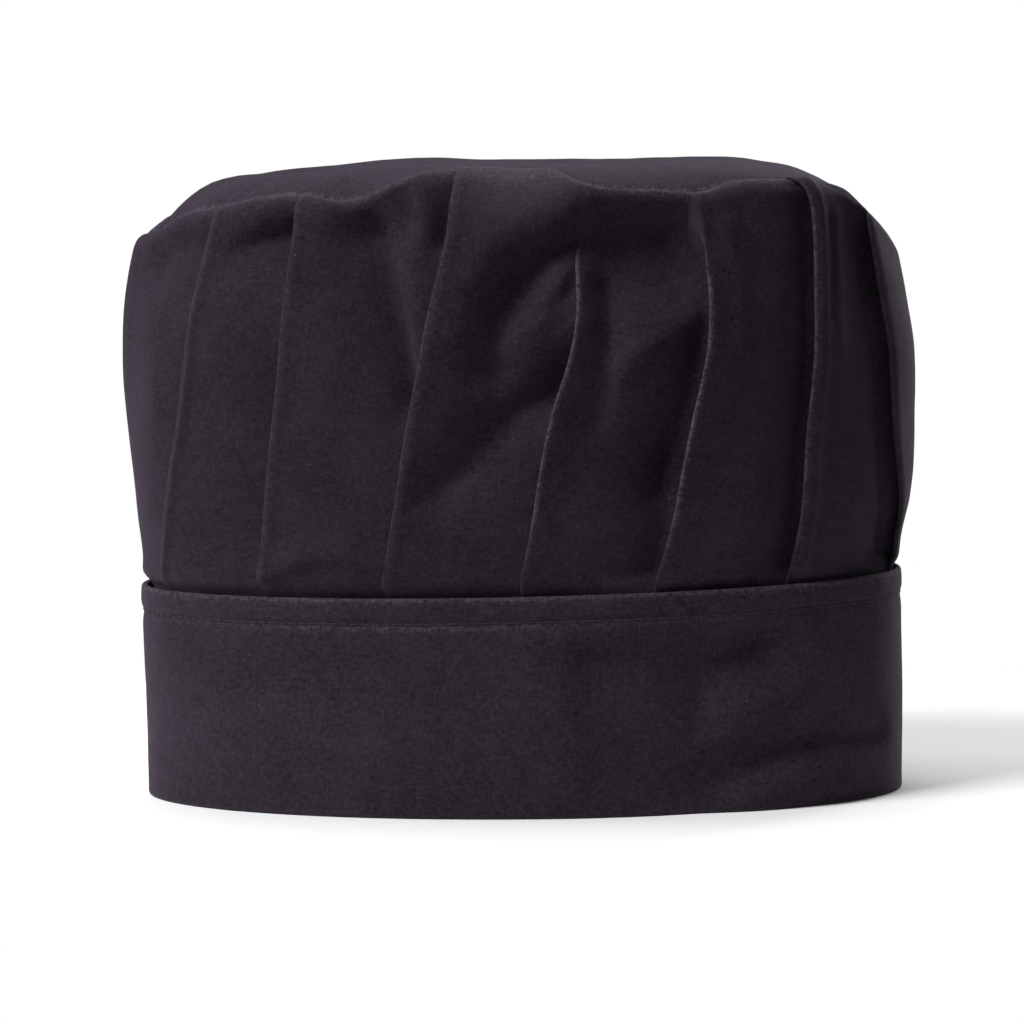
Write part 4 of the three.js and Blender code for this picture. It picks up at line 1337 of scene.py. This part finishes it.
Softbox = namedtuple("Softbox", "name place aim width height power")
SOFTBOXES = [
    Softbox("key_softbox", (-900, -800, 1350), (0, 0, 110), 700, 700, 38.5),
    Softbox("top_softbox", (0, 350, 1350), (0, 0, 150), 900, 900, 14),
    Softbox("left_strip", (-1150, 150, 350), (0, 0, 110), 300, 1000, 4),
    Softbox("right_strip", (760, 1080, 420), (0, 0, 130), 300, 1000, 7.5),
    Softbox("front_fill", (-200, -1700, 500), (0, 0, 100), 900, 900, 4),
]


def look_from(place, aim, roll=0.0):
    """The placing of a camera or lamp that looks from one point at another"""
    forward = (Vector(aim) - Vector(place)).normalized()
    right = forward.cross(Vector((0, 0, 1))).normalized()
    up = right.cross(forward)
    turned = right * math.cos(roll) + up * math.sin(roll)
    upright = up * math.cos(roll) - right * math.sin(roll)
    turn = Matrix((turned, upright, -forward)).transposed().to_4x4()
    return Matrix.Translation(Vector(place) * MM) @ turn


class CHEFHAT_OT_studio(bpy.types.Operator):
    """Sets up the pale floor, the soft lights and the camera"""

    bl_idname = "chefhat.studio"
    bl_label = "Studio"

    def execute(self, context):
        finish = context.scene.chefhat_finish
        start_clean()
        bpy.ops.mesh.primitive_plane_add(size=0.6)
        floor = context.active_object
        floor.name = "floor"
        floor.data.materials.append(plain_finish("floor_paper", finish.floor_colour, 0.9))
        for box in SOFTBOXES:
            lamp = bpy.data.lights.new(box.name, "AREA")
            lamp.shape = "RECTANGLE"
            lamp.size, lamp.size_y = box.width * MM, box.height * MM
            lamp.energy = box.power
            lamp_object = bpy.data.objects.new(box.name, lamp)
            lamp_object.matrix_world = look_from(box.place, box.aim)
            context.collection.objects.link(lamp_object)
        world = bpy.data.worlds.new("studio")
        world.use_nodes = True
        tree = world.node_tree
        backdrop = tree.nodes["Background"]
        backdrop.inputs["Color"].default_value = (1.0, 1.0, 1.0, 1.0)
        seen = tree.nodes.new("ShaderNodeLightPath").outputs["Is Camera Ray"]
        level = tree.nodes.new("ShaderNodeMapRange")
        level.inputs["To Min"].default_value = ROOM_LIGHT
        level.inputs["To Max"].default_value = BACKDROP_LIGHT
        tree.links.new(seen, level.inputs["Value"])
        tree.links.new(level.outputs[0], backdrop.inputs["Strength"])
        context.scene.world = world
        camera = bpy.data.cameras.new("camera")
        camera.sensor_width = SENSOR
        camera.lens = FOCAL_PIXELS / IMAGE_SIZE * SENSOR
        camera.clip_end = 50
        camera_object = bpy.data.objects.new("camera", camera)
        camera_object.matrix_world = look_from(CAMERA_PLACE, CAMERA_AIM, CAMERA_ROLL)
        context.collection.objects.link(camera_object)
        context.scene.camera = camera_object
        context.scene.view_settings.view_transform = "Standard"
        return {"FINISHED"}


class CHEFHAT_PT_panel(bpy.types.Panel):
    """Lists the steps that build the hat"""

    bl_idname = "CHEFHAT_PT_panel"
    bl_label = "Chef Hat"
    bl_space_type = "VIEW_3D"
    bl_region_type = "UI"
    bl_category = "Chef Hat"

    def draw(self, context):
        layout = self.layout
        for operator in OPERATORS:
            layout.operator(operator.bl_idname)
        for group in (context.scene.chefhat_sizes, context.scene.chefhat_finish):
            box = layout.box()
            for name in group.__annotations__:
                box.prop(group, name)


OPERATORS = (
    CHEFHAT_OT_studio,
    CHEFHAT_OT_band,
    CHEFHAT_OT_topstitching,
    CHEFHAT_OT_crown_side,
    CHEFHAT_OT_crown_top,
)
CLASSES = (ChefHatSizes, ChefHatFinish, *OPERATORS, CHEFHAT_PT_panel)


def register():
    for kind in CLASSES:
        bpy.utils.register_class(kind)
    bpy.types.Scene.chefhat_sizes = PointerProperty(type=ChefHatSizes)
    bpy.types.Scene.chefhat_finish = PointerProperty(type=ChefHatFinish)


def unregister():
    del bpy.types.Scene.chefhat_finish
    del bpy.types.Scene.chefhat_sizes
    for kind in reversed(CLASSES):
        bpy.utils.unregister_class(kind)


def main():
    register()
    bpy.ops.chefhat.studio()
    bpy.ops.chefhat.band()
    bpy.ops.chefhat.topstitching()
    bpy.ops.chefhat.crown_side()
    bpy.ops.chefhat.crown_top()


if __name__ == "__main__":
    main()
